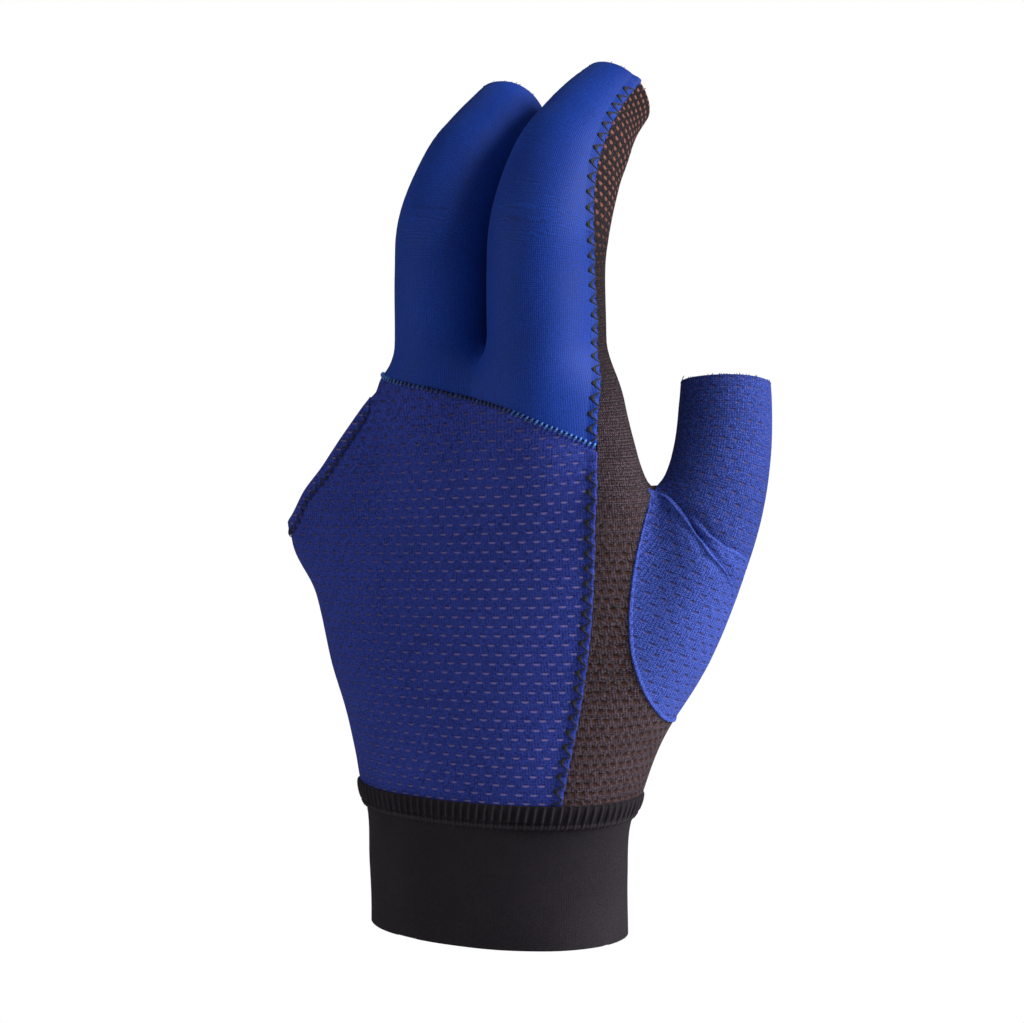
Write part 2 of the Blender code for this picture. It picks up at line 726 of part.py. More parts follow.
PIECES = {
    # name: colour, roughness, wall, how far it stands proud
    "cuff": ((0.016, 0.013, 0.017), 0.75, CUFF_WALL, 0.0),
    "cuff_seam": ((0.010, 0.009, 0.012), 0.85, BAND_WALL, BAND_RAISE),
    "back_panel": ((0.016, 0.024, 0.140), 0.70, MESH_WALL, 0.0),
    "finger_tops": ((0.012, 0.026, 0.180), 0.60, SMOOTH_WALL, 0.0),
    "palm_panel": ((0.040, 0.030, 0.036), 0.80, MESH_WALL, 0.0),
    "thumb_sleeve": ((0.035, 0.050, 0.240), 0.70, MESH_WALL, 0.0),
    "opening_hem": ((0.012, 0.017, 0.090), 0.75, HEM_WALL, HEM_RAISE),
}
SEAMS = (
    # piece, seam, name of the other side
    ("panel", above_wrist, "waste"),
    ("panel", above_cuff, "cuff"),
    ("panel", above_band, "cuff_seam"),
    ("panel", inside_index, "waste"),
    ("panel", inside_middle, "waste"),
    ("panel", inside_thumb, "waste"),
    ("panel", below_rim, "waste"),
    ("panel", beyond_thumb_seam, "thumb_sleeve"),
    ("panel", below_hem, "opening_hem"),
    ("panel", on_back, "palm_panel"),
    ("panel", above_knuckles, "back_panel"),
)


def border(faces):
    """Directed edges that only one triangle has."""
    ends = np.vstack([faces[:, [0, 1]], faces[:, [1, 2]], faces[:, [2, 0]]])
    known = {tuple(pair) for pair in ends.tolist()}
    return np.array([pair for pair in ends.tolist() if (pair[1], pair[0]) not in known])


def walled(surface, name, wall, raised):
    """One piece with its wall, trimmed along its border by half the seam gap."""
    faces = surface.faces[surface.names == name]
    used, index = np.unique(faces, return_inverse=True)
    faces = index.reshape(-1, 3)
    points = surface.points[used]
    normal = normals_of(points)
    edges = border(faces)
    run = unit(points[edges[:, 1]] - points[edges[:, 0]])
    inwards = np.cross(unit(normal[edges[:, 0]] + normal[edges[:, 1]]), run)
    push = np.zeros_like(points)
    for end in (0, 1):
        np.add.at(push, edges[:, end], inwards)
    length = np.linalg.norm(push, axis=1)
    rim = length > 0.3
    push[rim] *= (SEAM_GAP / np.maximum(length[rim], 1.2) ** 2)[:, None]
    push[~rim] = 0
    points = points + push
    outer, inner = points + normal * raised, points + normal * (raised - wall)
    count = len(points)
    sides = np.vstack(
        [
            np.column_stack([edges[:, 1], edges[:, 0], edges[:, 0] + count]),
            np.column_stack([edges[:, 1], edges[:, 0] + count, edges[:, 1] + count]),
        ]
    )
    return np.vstack([outer, inner]), np.vstack([faces, faces[:, ::-1] + count, sides])


def add_piece(name, points, faces, colour, roughness):
    mesh = bpy.data.meshes.new(name)
    mesh.from_pydata((points / 1000).tolist(), [], faces.tolist())
    mesh.shade_smooth()
    mesh.set_sharp_from_angle(angle=math.radians(50))
    material = bpy.data.materials.new(name)
    material.use_nodes = True
    shader = material.node_tree.nodes["Principled BSDF"]
    shader.inputs["Base Color"].default_value = (*colour, 1)
    shader.inputs["Roughness"].default_value = roughness
    mesh.materials.append(material)
    piece = bpy.data.objects.new(name, mesh)
    bpy.context.scene.collection.objects.link(piece)
    return piece


def build():
    for old in list(bpy.data.objects):
        bpy.data.objects.remove(old)
    surface = Surface(CELL)
    for name, seam, other in SEAMS:
        surface.cut(name, seam, other)
    surface.names[surface.names == "panel"] = "finger_tops"
    for name, (colour, roughness, wall, raised) in PIECES.items():
        points, faces = walled(surface, name, wall, raised)
        add_piece(name, points, faces, colour, roughness)


build()
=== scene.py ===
"""Looks of the three-finger billiard glove: detailed cloth in place of each plain panel.

Lengths are in millimetres and become metres when a mesh is made. +Z runs from the wrist to the
fingers, +X points to the thumb side, -Y is the back of the hand and +Y the palm.
The form and its seams are the part's own, on a finer mesh. The folds, puffed edges, ribs and
stitches are worked out by moving points along the form.
"""

import math

import bpy
import numpy as np
from mathutils import Matrix


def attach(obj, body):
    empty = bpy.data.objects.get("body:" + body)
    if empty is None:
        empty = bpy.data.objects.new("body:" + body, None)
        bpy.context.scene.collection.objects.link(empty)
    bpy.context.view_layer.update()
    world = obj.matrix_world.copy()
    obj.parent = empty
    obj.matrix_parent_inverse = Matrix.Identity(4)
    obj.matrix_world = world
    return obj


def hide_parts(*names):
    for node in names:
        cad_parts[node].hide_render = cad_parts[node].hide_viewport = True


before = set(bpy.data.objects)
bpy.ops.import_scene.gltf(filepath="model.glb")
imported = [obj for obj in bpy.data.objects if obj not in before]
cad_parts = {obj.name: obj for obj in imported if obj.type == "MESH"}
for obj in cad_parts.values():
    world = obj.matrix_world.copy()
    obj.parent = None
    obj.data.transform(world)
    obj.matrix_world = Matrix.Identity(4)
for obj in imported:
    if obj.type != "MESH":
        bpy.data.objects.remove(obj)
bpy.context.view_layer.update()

# Driving sizes
WRIST_WIDTH = 60.4
WRIST_DEPTH = 42.0
PALM_WIDTH = 89.4
PALM_DEPTH = 31.6
CUFF_HEIGHT = 26.6
BAND_HEIGHT = 4.8
FINGER_BASE = 119.0

INDEX_REACH = 65.8
INDEX_CURL = 27.0
INDEX_WIDTH = 24.0
INDEX_DEPTH = 28.4
MIDDLE_REACH = 64.0
MIDDLE_CURL = 28.0
MIDDLE_WIDTH = 22.2
MIDDLE_DEPTH = 26.8
STUB_WIDTH = 20.0
FINGER_GAP = 1.2

THUMB_HEIGHT = 120.6
THUMB_SPREAD = 44.6
THUMB_REACH = 24.0
THUMB_WIDTH = 20.4

MESH_WALL = 1.1
SMOOTH_WALL = 1.3
CUFF_WALL = 1.8
BAND_WALL = 2.4
BAND_RAISE = 0.7
HEM_WALL = 1.7
HEM_RAISE = 0.3
HEM_WIDTH = 2.6
HEM_END = 1.5
SEAM_GAP = 0.34

# Mesh size of the panels, and how near a corner is to a seam before it moves onto it
CELL = 1.5
SNAP = 0.32
# Axis points for each row of a finger's table, and rounds of evening out the mesh
POINTS_PER_ROW = 6
RELAX_ROUNDS = 4
FORM_ROUNDS = 3
# How far the mesh's lattice reaches, in shares of PALM_WIDTH and PALM_DEPTH
LATTICE_LEFT = 0.50
LATTICE_RIGHT = 0.72
LATTICE_FRONT = 1.60

# Blend radii of the form, where one part of the hand runs into another
KNUCKLE_BLEND = 7.0
THUMB_BLEND = 8.0
CROTCH_BLEND = 1.8
CAP_BLEND = 7.0
# How square the fingers' sections are, where 2 is an ellipse, and how far their form runs on
TUBE_POWER = 2.15
RUN_ON = 6.0
OUT_OF_REACH = 30.0

# The hand from the wrist up. Heights are shares of FINGER_BASE, middle is a share of PALM_WIDTH,
# width and depth run from the wrist's (0) to the palm's (1), and power rounds the section.
HAND_ROWS = (
    # height, middle, width, depth, power
    (-0.080, 0.000, 0.000, 0.000, 2.10),
    (0.110, 0.000, 0.000, 0.000, 2.10),
    (0.205, 0.000, 0.040, -0.020, 2.10),
    (0.265, 0.000, 0.190, -0.080, 2.12),
    (0.310, -0.002, 0.240, -0.040, 2.15),
    (0.365, -0.010, 0.300, 0.020, 2.20),
    (0.475, -0.034, 0.480, 0.220, 2.25),
    (0.585, -0.056, 0.630, 0.560, 2.30),
    (0.695, -0.078, 0.830, 0.900, 2.35),
    (0.745, -0.085, 0.880, 1.000, 2.40),
    (0.820, -0.094, 0.930, 1.060, 2.40),
    (0.885, -0.112, 0.880, 1.130, 2.40),
    (1.010, -0.130, 0.700, 1.320, 2.35),
    (1.200, -0.140, 0.560, 1.500, 2.30),
)

# Top of the palm's form, hidden between and beside the fingers: across is a share of PALM_WIDTH
# from the wrist's middle, height a share of FINGER_BASE.
CAP_ROWS = (
    # across, height
    (-0.62, 0.885),
    (-0.52, 0.925),
    (-0.38, 0.985),
    (-0.22, 1.020),
    (0.02, 1.040),
    (0.30, 1.030),
)

# Finger axes. Heights are shares of the finger's reach above FINGER_BASE, apart is how far the
# finger's side stands off its neighbour's beyond FINGER_GAP, as a share of the finger's width,
# curl a share of the finger's curl towards the palm; width and depth are shares of its own.
INDEX_ROWS = (
    # height, apart, curl, width, depth
    (-0.450, 0.000, 0.000, 0.86, 0.86),
    (-0.200, 0.000, -0.030, 0.97, 0.97),
    (0.000, 0.000, -0.060, 1.00, 1.00),
    (0.180, 0.000, -0.080, 0.99, 1.00),
    (0.380, 0.000, -0.105, 0.98, 1.00),
    (0.530, 0.000, -0.085, 1.00, 0.99),
    (0.700, 0.015, 0.110, 0.96, 0.90),
    (0.800, 0.045, 0.310, 0.89, 0.80),
    (0.895, 0.095, 0.570, 0.79, 0.68),
    (1.000, 0.190, 0.930, 0.68, 0.55),
)
MIDDLE_ROWS = (
    # height, apart, curl, width, depth
    (-0.450, 0.000, 0.000, 0.86, 0.86),
    (-0.200, 0.000, -0.040, 0.97, 0.97),
    (0.000, 0.000, -0.070, 1.00, 1.00),
    (0.180, 0.000, -0.090, 0.99, 1.00),
    (0.380, 0.000, -0.110, 0.98, 1.00),
    (0.530, 0.000, -0.070, 1.00, 0.99),
    (0.700, 0.015, 0.150, 0.96, 0.90),
    (0.800, 0.045, 0.350, 0.89, 0.80),
    (0.895, 0.100, 0.600, 0.79, 0.70),
    (1.000, 0.190, 0.930, 0.70, 0.58),
)
# The ring and little fingers are bare: only their roots shape the cloth beside them.
RING_ROWS = (
    # height, apart, curl, width, depth
    (-0.450, 0.000, 0.000, 0.90, 1.05),
    (0.000, 0.000, 0.100, 1.00, 1.20),
    (0.220, 0.000, 0.300, 1.00, 1.15),
)
LITTLE_ROWS = (
    # height, apart, curl, width, depth
    (-0.550, -0.200, 0.080, 0.80, 1.00),
    (-0.150, -0.160, 0.200, 0.85, 1.05),
    (0.080, -0.100, 0.450, 0.85, 1.00),
)
# The valley between the index and middle fingers: heights as above, across a share of PALM_WIDTH.
VALLEY_ROWS = (
    # height, across
    (-0.450, 0.0130),
    (0.380, 0.0140),
    (0.530, 0.0195),
    (0.700, 0.0270),
    (0.800, 0.0370),
    (0.895, 0.0450),
    (1.000, 0.0580),
)
# Thumb axis. Heights are shares of THUMB_HEIGHT, spread of THUMB_SPREAD, reach of THUMB_REACH.
THUMB_ROWS = (
    # height, spread, reach, width, depth
    (0.250, 0.270, 0.080, 0.84, 0.86),
    (0.330, 0.400, 0.180, 1.20, 1.20),
    (0.420, 0.545, 0.270, 1.30, 1.36),
    (0.530, 0.710, 0.390, 1.32, 1.40),
    (0.630, 0.840, 0.500, 1.25, 1.34),
    (0.720, 0.935, 0.610, 1.13, 1.20),
    (0.800, 0.985, 0.720, 1.07, 1.06),
    (0.880, 1.000, 0.830, 1.02, 1.00),
    (0.950, 0.985, 0.940, 0.98, 0.95),
    (1.000, 0.970, 1.000, 0.93, 0.91),
)
# The two folds that the thumb's sleeve throws at the web, along their lowest lines. Shares as
# above, and depth is a share of FOLD_DEPTH.
FOLD_DEPTH = 1.3
FOLD_WIDTH = 3.0
WEB_FOLDS = (
    (
        # height, spread, reach, depth
        (0.822, 0.800, 0.190, 0.45),
        (0.795, 0.900, 0.165, 0.85),
        (0.752, 1.010, 0.155, 1.00),
        (0.705, 1.095, 0.200, 0.90),
        (0.655, 1.140, 0.430, 0.55),
        (0.612, 1.120, 0.670, 0.00),
    ),
    (
        # height, spread, reach, depth
        (0.770, 0.985, 0.150, 0.20),
        (0.740, 1.070, 0.190, 0.70),
        (0.712, 1.135, 0.350, 0.75),
        (0.685, 1.177, 0.640, 0.30),
        (0.660, 1.150, 0.860, 0.00),
    ),
)


def spline(rows, x, column):
    """Smooth curve through one column of a table against its first, straight past both ends."""
    table = np.asarray(rows, float)
    knots, values = table[:, 0], table[:, column]
    slopes = np.gradient(values, knots)
    x = np.asarray(x, float)
    k = np.clip(np.searchsorted(knots, x) - 1, 0, len(knots) - 2)
    step = knots[k + 1] - knots[k]
    u = (x - knots[k]) / step
    v = np.clip(u, 0, 1)
    curve = (
        (2 * v**3 - 3 * v**2 + 1) * values[k]
        + (v**3 - 2 * v**2 + v) * step * slopes[k]
        + (3 * v**2 - 2 * v**3) * values[k + 1]
        + (v**3 - v**2) * step * slopes[k + 1]
    )
    return curve + (u - v) * step * np.where(u < 0, slopes[0], slopes[-1])


def unit(vectors):
    return vectors / np.maximum(np.linalg.norm(vectors, axis=-1, keepdims=True), 1e-9)


def section_distance(u, v, half_width, half_depth, power):
    """Distance from a rounded section, near enough to its surface."""
    p, q = np.abs(u) / half_width, np.abs(v) / half_depth
    size = (p**power + q**power + 1e-12) ** (1 / power)
    slope = np.hypot((p / size) ** (power - 1) / half_width, (q / size) ** (power - 1) / half_depth)
    return (size - 1) / np.maximum(slope, 1 / (2 * np.maximum(half_width, half_depth)))


def join(a, b, radius):
    """Smooth union of two distances."""
    h = np.clip(0.5 + 0.5 * (b - a) / radius, 0, 1)
    return b + (a - b) * h - radius * h * (1 - h)


def hand_section(z):
    """Middle, half width, half depth and power of the hand's section at a height."""
    share = z / FINGER_BASE
    width = WRIST_WIDTH + (PALM_WIDTH - WRIST_WIDTH) * spline(HAND_ROWS, share, 2)
    depth = WRIST_DEPTH + (PALM_DEPTH - WRIST_DEPTH) * spline(HAND_ROWS, share, 3)
    middle = spline(HAND_ROWS, share, 1) * PALM_WIDTH
    return middle, width / 2, depth / 2, spline(HAND_ROWS, share, 4)


class Tube:
    """A finger: a curved axis with an oval section that changes along it."""

    def __init__(self, points, half_width, half_depth):
        self.last = round(POINTS_PER_ROW * len(points)) - 1
        steps = np.linspace(0, 1, self.last + 1)
        knots = np.linspace(0, 1, len(points))
        rows = np.column_stack([knots, points, half_width, half_depth])
        curve = [spline(rows, steps, column) for column in (1, 2, 3)]
        axis = np.column_stack(curve)
        sizes = np.column_stack([spline(rows, steps, column) for column in (4, 5)])
        end = unit(axis[-1] - axis[-2])
        more = axis[-1] + np.outer(RUN_ON * np.linspace(0, 1, len(points))[1:], end)
        self.axis = np.vstack([axis, more])
        self.sizes = np.vstack([sizes, np.repeat(sizes[-1:], len(more), axis=0)])
        self.tangent = unit(np.gradient(self.axis, axis=0))
        side = np.array([1.0, 0.0, 0.0])
        self.across = unit(side - self.tangent * (self.tangent @ side)[:, None])
        self.depth = np.cross(self.tangent, self.across)
        self.low = self.axis.min(0) - OUT_OF_REACH
        self.high = self.axis.max(0) + OUT_OF_REACH

    def nearest(self, points):
        """Position along the axis, in axis points, of the place nearest to each point."""
        far = (self.axis**2).sum(1) - 2 * points @ self.axis.T
        k = np.clip(far.argmin(1), 1, len(self.axis) - 2)
        found = []
        for first in (k - 1, k):
            run = self.axis[first + 1] - self.axis[first]
            away = points - self.axis[first]
            t = np.clip((away * run).sum(1) / (run**2).sum(1), 0, 1)
            found.append((first + t, ((away - run * t[:, None]) ** 2).sum(1)))
        (before, before_far), (after, after_far) = found
        return np.where(after_far < before_far, after, before)

    def at(self, position, table):
        k = np.clip(position.astype(int), 0, len(self.axis) - 2)
        t = (position - k)[:, None]
        return table[k] * (1 - t) + table[k + 1] * t

    def distance(self, points):
        """Distance from the finger; points out of its reach get a plain large value."""
        near = ((points > self.low) & (points < self.high)).all(1)
        found = np.full(len(points), OUT_OF_REACH)
        found[near] = self.distance_near(points[near])
        return found

    def distance_near(self, points):
        position = self.nearest(points)
        away = points - self.at(position, self.axis)
        u = (away * unit(self.at(position, self.across))).sum(1)
        v = (away * unit(self.at(position, self.depth))).sum(1)
        before = np.maximum(-(points - self.axis[0]) @ self.tangent[0], 0)
        after = np.maximum((points - self.axis[-1]) @ self.tangent[-1], 0)
        size = self.at(position, self.sizes)
        u = np.hypot(u, before + after)
        return section_distance(u, v, size[:, 0], size[:, 1], TUBE_POWER)


def valley(z):
    """Across position of the gap between the index and middle fingers."""
    return spline(VALLEY_ROWS, (z - FINGER_BASE) / INDEX_REACH, 1) * PALM_WIDTH


def finger_tube(rows, reach, curl, width, depth, side, beside):
    """A finger on one side (+1 or -1) of the line beside, which gives across for a height."""
    table = np.asarray(rows, float)
    z = FINGER_BASE + table[:, 0] * reach
    half = table[:, 3] * width / 2
    across = beside(z) + side * (FINGER_GAP / 2 + table[:, 1] * width + half)
    points = np.column_stack([across, table[:, 2] * curl, z])
    return Tube(points, half, table[:, 4] * depth / 2)


def far_side(tube, side):
    """The line along a finger's side where its neighbour begins."""

    def line(z):
        x = tube.axis[:, 0] + side * (tube.sizes[:, 0] + FINGER_GAP / 2)
        return np.interp(z, tube.axis[:, 2], x)

    return line


def thumb_tube():
    table = np.asarray(THUMB_ROWS, float)
    points = np.column_stack(
        [table[:, 1] * THUMB_SPREAD, table[:, 2] * THUMB_REACH, table[:, 0] * THUMB_HEIGHT]
    )
    return Tube(points, table[:, 3] * THUMB_WIDTH / 2, table[:, 4] * THUMB_WIDTH / 2)


INDEX = finger_tube(INDEX_ROWS, INDEX_REACH, INDEX_CURL, INDEX_WIDTH, INDEX_DEPTH, 1, valley)
MIDDLE = finger_tube(MIDDLE_ROWS, MIDDLE_REACH, MIDDLE_CURL, MIDDLE_WIDTH, MIDDLE_DEPTH, -1, valley)
BESIDE_MIDDLE = far_side(MIDDLE, -1)
RING = finger_tube(
    RING_ROWS, MIDDLE_REACH, MIDDLE_CURL, STUB_WIDTH, STUB_WIDTH, -1, BESIDE_MIDDLE
)
LITTLE = finger_tube(
    LITTLE_ROWS, MIDDLE_REACH, MIDDLE_CURL, STUB_WIDTH, STUB_WIDTH, -1, far_side(RING, -1)
)
THUMB = thumb_tube()


def fold_depth(points):
    """How far the folds at the thumb's web sink the cloth."""
    sunk = np.zeros(len(points))
    near = np.flatnonzero((points[:, 0] > THUMB_SPREAD / 2) & (points[:, 2] > THUMB_HEIGHT / 2))
    p = points[near]
    for rows in WEB_FOLDS:
        table = np.asarray(rows, float)
        line = table[:, [1, 2, 0]] * (THUMB_SPREAD, THUMB_REACH, THUMB_HEIGHT)
        here = np.zeros(len(p))
        for a, b, start, end in zip(line, line[1:], table[:, 3], table[1:, 3]):
            t = np.clip((p - a) @ (b - a) / ((b - a) @ (b - a)), 0, 1)
            away = ((p - a - t[:, None] * (b - a)) ** 2).sum(1)
            reach = (FOLD_WIDTH / 2) ** 2
            here = np.maximum(here, (start + (end - start) * t) * np.exp(-away / reach))
        sunk[near] += here * FOLD_DEPTH
    return sunk


def form(points):
    """The gloved hand's field: negative inside, 0 on the cloth's outer surface."""
    x, y, z = points.T
    middle, half_width, half_depth, power = hand_section(z)
    palm = section_distance(x - middle, y, half_width, half_depth, power)
    cap = z - spline(CAP_ROWS, x / PALM_WIDTH, 1) * FINGER_BASE
    palm = -join(-palm, -cap, CAP_BLEND)
    fingers = join(INDEX.distance(points), MIDDLE.distance(points), CROTCH_BLEND)
    roots = join(RING.distance(points), LITTLE.distance(points), CROTCH_BLEND)
    fingers = join(fingers, roots, CROTCH_BLEND)
    hand = join(palm, fingers, KNUCKLE_BLEND)
    return join(hand, THUMB.distance(points), THUMB_BLEND) + fold_depth(points)


def normals_of(points, step=0.15):
    corners = np.array([[1, 1, 1], [1, -1, -1], [-1, 1, -1], [-1, -1, 1]]) * step
    return unit(sum(corner * form(points + corner)[:, None] for corner in corners))


# Seams. Each value below is positive on the side of the piece that keeps its name.

# Rim beside the ring and little fingers and the seam over the knuckles: across as a share of
# PALM_WIDTH, height as a share of FINGER_BASE.
RIM_ROWS = (
    # across, height
    (-0.620, 0.722),
    (-0.565, 0.737),
    (-0.527, 0.757),
    (-0.481, 0.802),
    (-0.413, 0.851),
    (-0.338, 0.918),
    (-0.264, 0.984),
    (-0.211, 1.017),
    (-0.100, 1.080),
)
KNUCKLE_ROWS = (
    # across, height
    (-0.300, 1.030),
    (-0.211, 1.017),
    (-0.079, 1.002),
    (0.019, 0.986),
    (0.141, 0.967),
    (0.234, 0.939),
    (0.313, 0.909),
)
# Edge of the back's panels along the thumb side: height as a share of FINGER_BASE, depth as a
# share of PALM_DEPTH, from the middle of the hand.
SIDE_ROWS = (
    # height, depth
    (0.200, -0.490),
    (0.303, -0.468),
    (0.411, -0.421),
    (0.491, -0.383),
    (0.597, -0.332),
    (0.703, -0.310),
    (0.810, -0.297),
    (0.888, -0.256),
    (0.985, -0.190),
    (1.060, -0.080),
)
# The same edge along the index finger: height as a share of INDEX_REACH above FINGER_BASE, depth
# as a share of INDEX_DEPTH from the finger's axis.
INDEX_SIDE_ROWS = (
    # height, depth
    (0.000, -0.120),
    (0.160, 0.015),
    (0.320, 0.000),
    (0.467, -0.050),
    (0.610, -0.160),
    (0.705, -0.220),
    (0.802, -0.270),
    (0.950, -0.285),
)
# Seam round the thumb: height as a share of THUMB_HEIGHT, across as a share of THUMB_SPREAD.
THUMB_SEAM_ROWS = (
    # height, across
    (0.350, 1.080),
    (0.391, 0.925),
    (0.425, 0.868),
    (0.509, 0.778),
    (0.589, 0.753),
    (0.641, 0.760),
    (0.745, 0.798),
    (0.816, 0.836),
    (0.900, 0.840),
    (1.000, 0.840),
)
THUMB_SEAM_TILT = 0.33
# Where the back's mesh ends on the palm side of the little finger's edge, a share of PALM_WIDTH
WRAP_ACROSS = -0.37
WRAP_SLOPE = 4.0
# Depth of the seam between and beside the fingers, a share of the finger's depth
INNER_SEAM = 0.12
# Fingertip openings, a share of each reach from the end of the finger's table
INDEX_TRIM = 0.040
MIDDLE_TRIM = 0.072
THUMB_TRIM = 0.010
# The tips' cuts reach down to these shares of the fingers' reach, THUMB_SPREAD and THUMB_HEIGHT
TIP_FROM = 0.40
THUMB_TIP_ACROSS = 0.70
THUMB_TIP_FROM = 0.85


def above_wrist(p):
    return p[:, 2]


def above_cuff(p):
    return p[:, 2] - CUFF_HEIGHT


def above_band(p):
    return p[:, 2] - CUFF_HEIGHT - BAND_HEIGHT


def before_tip(tube, trim, p):
    end = tube.at(np.array([tube.last * (1 - trim)]), tube.axis)[0]
    return (end - p) @ tube.tangent[tube.last]


def inside_index(p):
    own = (p[:, 0] > valley(p[:, 2])) & (p[:, 2] > FINGER_BASE + TIP_FROM * INDEX_REACH)
    return np.where(own, before_tip(INDEX, INDEX_TRIM, p), CELL)


def inside_middle(p):
    own = (p[:, 0] < valley(p[:, 2])) & (p[:, 2] > FINGER_BASE + TIP_FROM * MIDDLE_REACH)
    own &= p[:, 0] > BESIDE_MIDDLE(p[:, 2])
    return np.where(own, before_tip(MIDDLE, MIDDLE_TRIM, p), CELL)


def inside_thumb(p):
    own = (p[:, 0] > THUMB_TIP_ACROSS * THUMB_SPREAD) & (p[:, 2] > THUMB_TIP_FROM * THUMB_HEIGHT)
    return np.where(own, before_tip(THUMB, THUMB_TRIM, p), CELL)


def under_rim(p):
    """How far points lie under the line of the rim, across its slope."""
    share = p[:, 0] / PALM_WIDTH
    height = spline(RIM_ROWS, share, 1) * FINGER_BASE
    rise = (spline(RIM_ROWS, share + 0.01, 1) * FINGER_BASE - height) / (0.01 * PALM_WIDTH)
    return (height - p[:, 2]) / np.hypot(1, rise)


def below_rim(p):
    return np.maximum(under_rim(p), p[:, 0] - BESIDE_MIDDLE(p[:, 2]))


def below_hem(p):
    return np.maximum(under_rim(p) - HEM_WIDTH, p[:, 0] - BESIDE_MIDDLE(p[:, 2]) + HEM_END)


def beyond_thumb_seam(p):
    across = spline(THUMB_SEAM_ROWS, p[:, 2] / THUMB_HEIGHT, 1) * THUMB_SPREAD
    return across - p[:, 0] - THUMB_SEAM_TILT * p[:, 1]


def along(tube, z, table, column):
    """A value of a finger at the height z of its axis."""
    return np.interp(z, tube.axis[:, 2], table[:, column])


def on_back(p):
    x, y, z = p.T
    share = np.clip((z - FINGER_BASE) / INDEX_REACH, -0.2, 1.2)
    finger_edge = spline(INDEX_SIDE_ROWS, share, 1) * INDEX_DEPTH
    index_x = along(INDEX, z, INDEX.axis, 0)
    side = np.clip(0.5 + 0.5 * (x - index_x) / along(INDEX, z, INDEX.sizes, 0), 0, 1)
    index_edge = INNER_SEAM * INDEX_DEPTH * (1 - side) + finger_edge * side
    index_edge = index_edge + along(INDEX, z, INDEX.axis, 1)
    middle_edge = along(MIDDLE, z, MIDDLE.axis, 1) + INNER_SEAM * MIDDLE_DEPTH
    fingers = np.where(x > valley(z), index_edge, middle_edge)
    palm_edge = spline(SIDE_ROWS, z / FINGER_BASE, 1) * PALM_DEPTH * side
    rise = np.clip((z / FINGER_BASE - SIDE_ROWS[-2][0]) / (SIDE_ROWS[-1][0] - SIDE_ROWS[-2][0]), 0, 1)
    edge = palm_edge * (1 - rise) + fingers * rise
    edge = edge + WRAP_SLOPE * np.maximum(WRAP_ACROSS * PALM_WIDTH - x, 0)
    return edge - y


def above_knuckles(p):
    return p[:, 2] - spline(KNUCKLE_ROWS, p[:, 0] / PALM_WIDTH, 1) * FINGER_BASE


def form_lattice(cell):
    """Points of a box lattice whose planes follow the gaps on both sides of the middle finger."""
    top = FINGER_BASE + INDEX_REACH + INDEX_WIDTH
    z = np.arange(-1.5 * cell, top, cell)
    y = np.arange(-PALM_DEPTH - cell, LATTICE_FRONT * PALM_DEPTH + cell, cell)
    steps = max(round((valley(FINGER_BASE) - BESIDE_MIDDLE(FINGER_BASE)) / cell), 2)
    left = math.ceil(LATTICE_LEFT * PALM_WIDTH / cell)
    right = math.ceil(LATTICE_RIGHT * PALM_WIDTH / cell)
    plane = np.arange(-left - steps, right + 1)
    inner, outer = valley(z)[:, None], BESIDE_MIDDLE(z)[:, None]
    x = np.where(plane > 0, inner + plane * cell, inner + (inner - outer) * plane / steps)
    x = np.where(plane < -steps, outer + (plane + steps) * cell, x)
    points = np.empty((len(plane), len(y), len(z), 3))
    points[..., 0] = x.T[:, None, :]
    points[..., 1] = y[None, :, None]
    points[..., 2] = z[None, None, :]
    return points


def form_quads(cell):
    """The form's surface as quads: one corner in each lattice box that the surface crosses."""
    points = form_lattice(cell)
    value = form(points.reshape(-1, 3)).reshape(points.shape[:3])
    inside = value < 0
    boxes = tuple(n - 1 for n in value.shape)
    total = np.zeros(boxes + (3,))
    count = np.zeros(boxes)
    crossings = []
    for axis in range(3):
        low = [slice(None)] * 3
        high = [slice(None)] * 3
        low[axis], high[axis] = slice(0, -1), slice(1, None)
        low, high = tuple(low), tuple(high)
        crosses = inside[low] != inside[high]
        share = value[low] / np.where(crosses, value[low] - value[high], 1)
        where = points[low] + (points[high] - points[low]) * share[..., None]
        for first in (0, 1):
            for second in (0, 1):
                part = [slice(None)] * 3
                others = [k for k in range(3) if k != axis]
                for k, shift in zip(others, (first, second)):
                    part[k] = slice(shift, shift + boxes[k])
                part = tuple(part)
                total += np.where(crosses[part][..., None], where[part], 0)
                count += crosses[part]
        crossings.append((axis, crosses, inside[low]))
    used = count > 0
    number = np.full(boxes, -1)
    number[used] = np.arange(used.sum())
    corners = total[used] / count[used][:, None]
    quads = []
    for axis, crosses, inner in crossings:
        i = np.argwhere(crosses)
        others = [k for k in range(3) if k != axis]
        a, b = others
        keep = (i[:, a] > 0) & (i[:, b] > 0) & (i[:, a] < boxes[a]) & (i[:, b] < boxes[b])
        i = i[keep]
        turn = inner[tuple(i.T)] ^ (axis == 1)
        ring = []
        for da, db in ((1, 1), (0, 1), (0, 0), (1, 0)):
            box = i.copy()
            box[:, a] -= da
            box[:, b] -= db
            ring.append(number[tuple(box.T)])
        ring = np.column_stack(ring)
        quads.append(np.where(turn[:, None], ring, ring[:, ::-1]))
    return corners, np.vstack(quads)


def to_form(points, rounds=FORM_ROUNDS):
    for _ in range(round(rounds)):
        points = points - np.clip(form(points), -1, 1)[:, None] * normals_of(points)
    return points


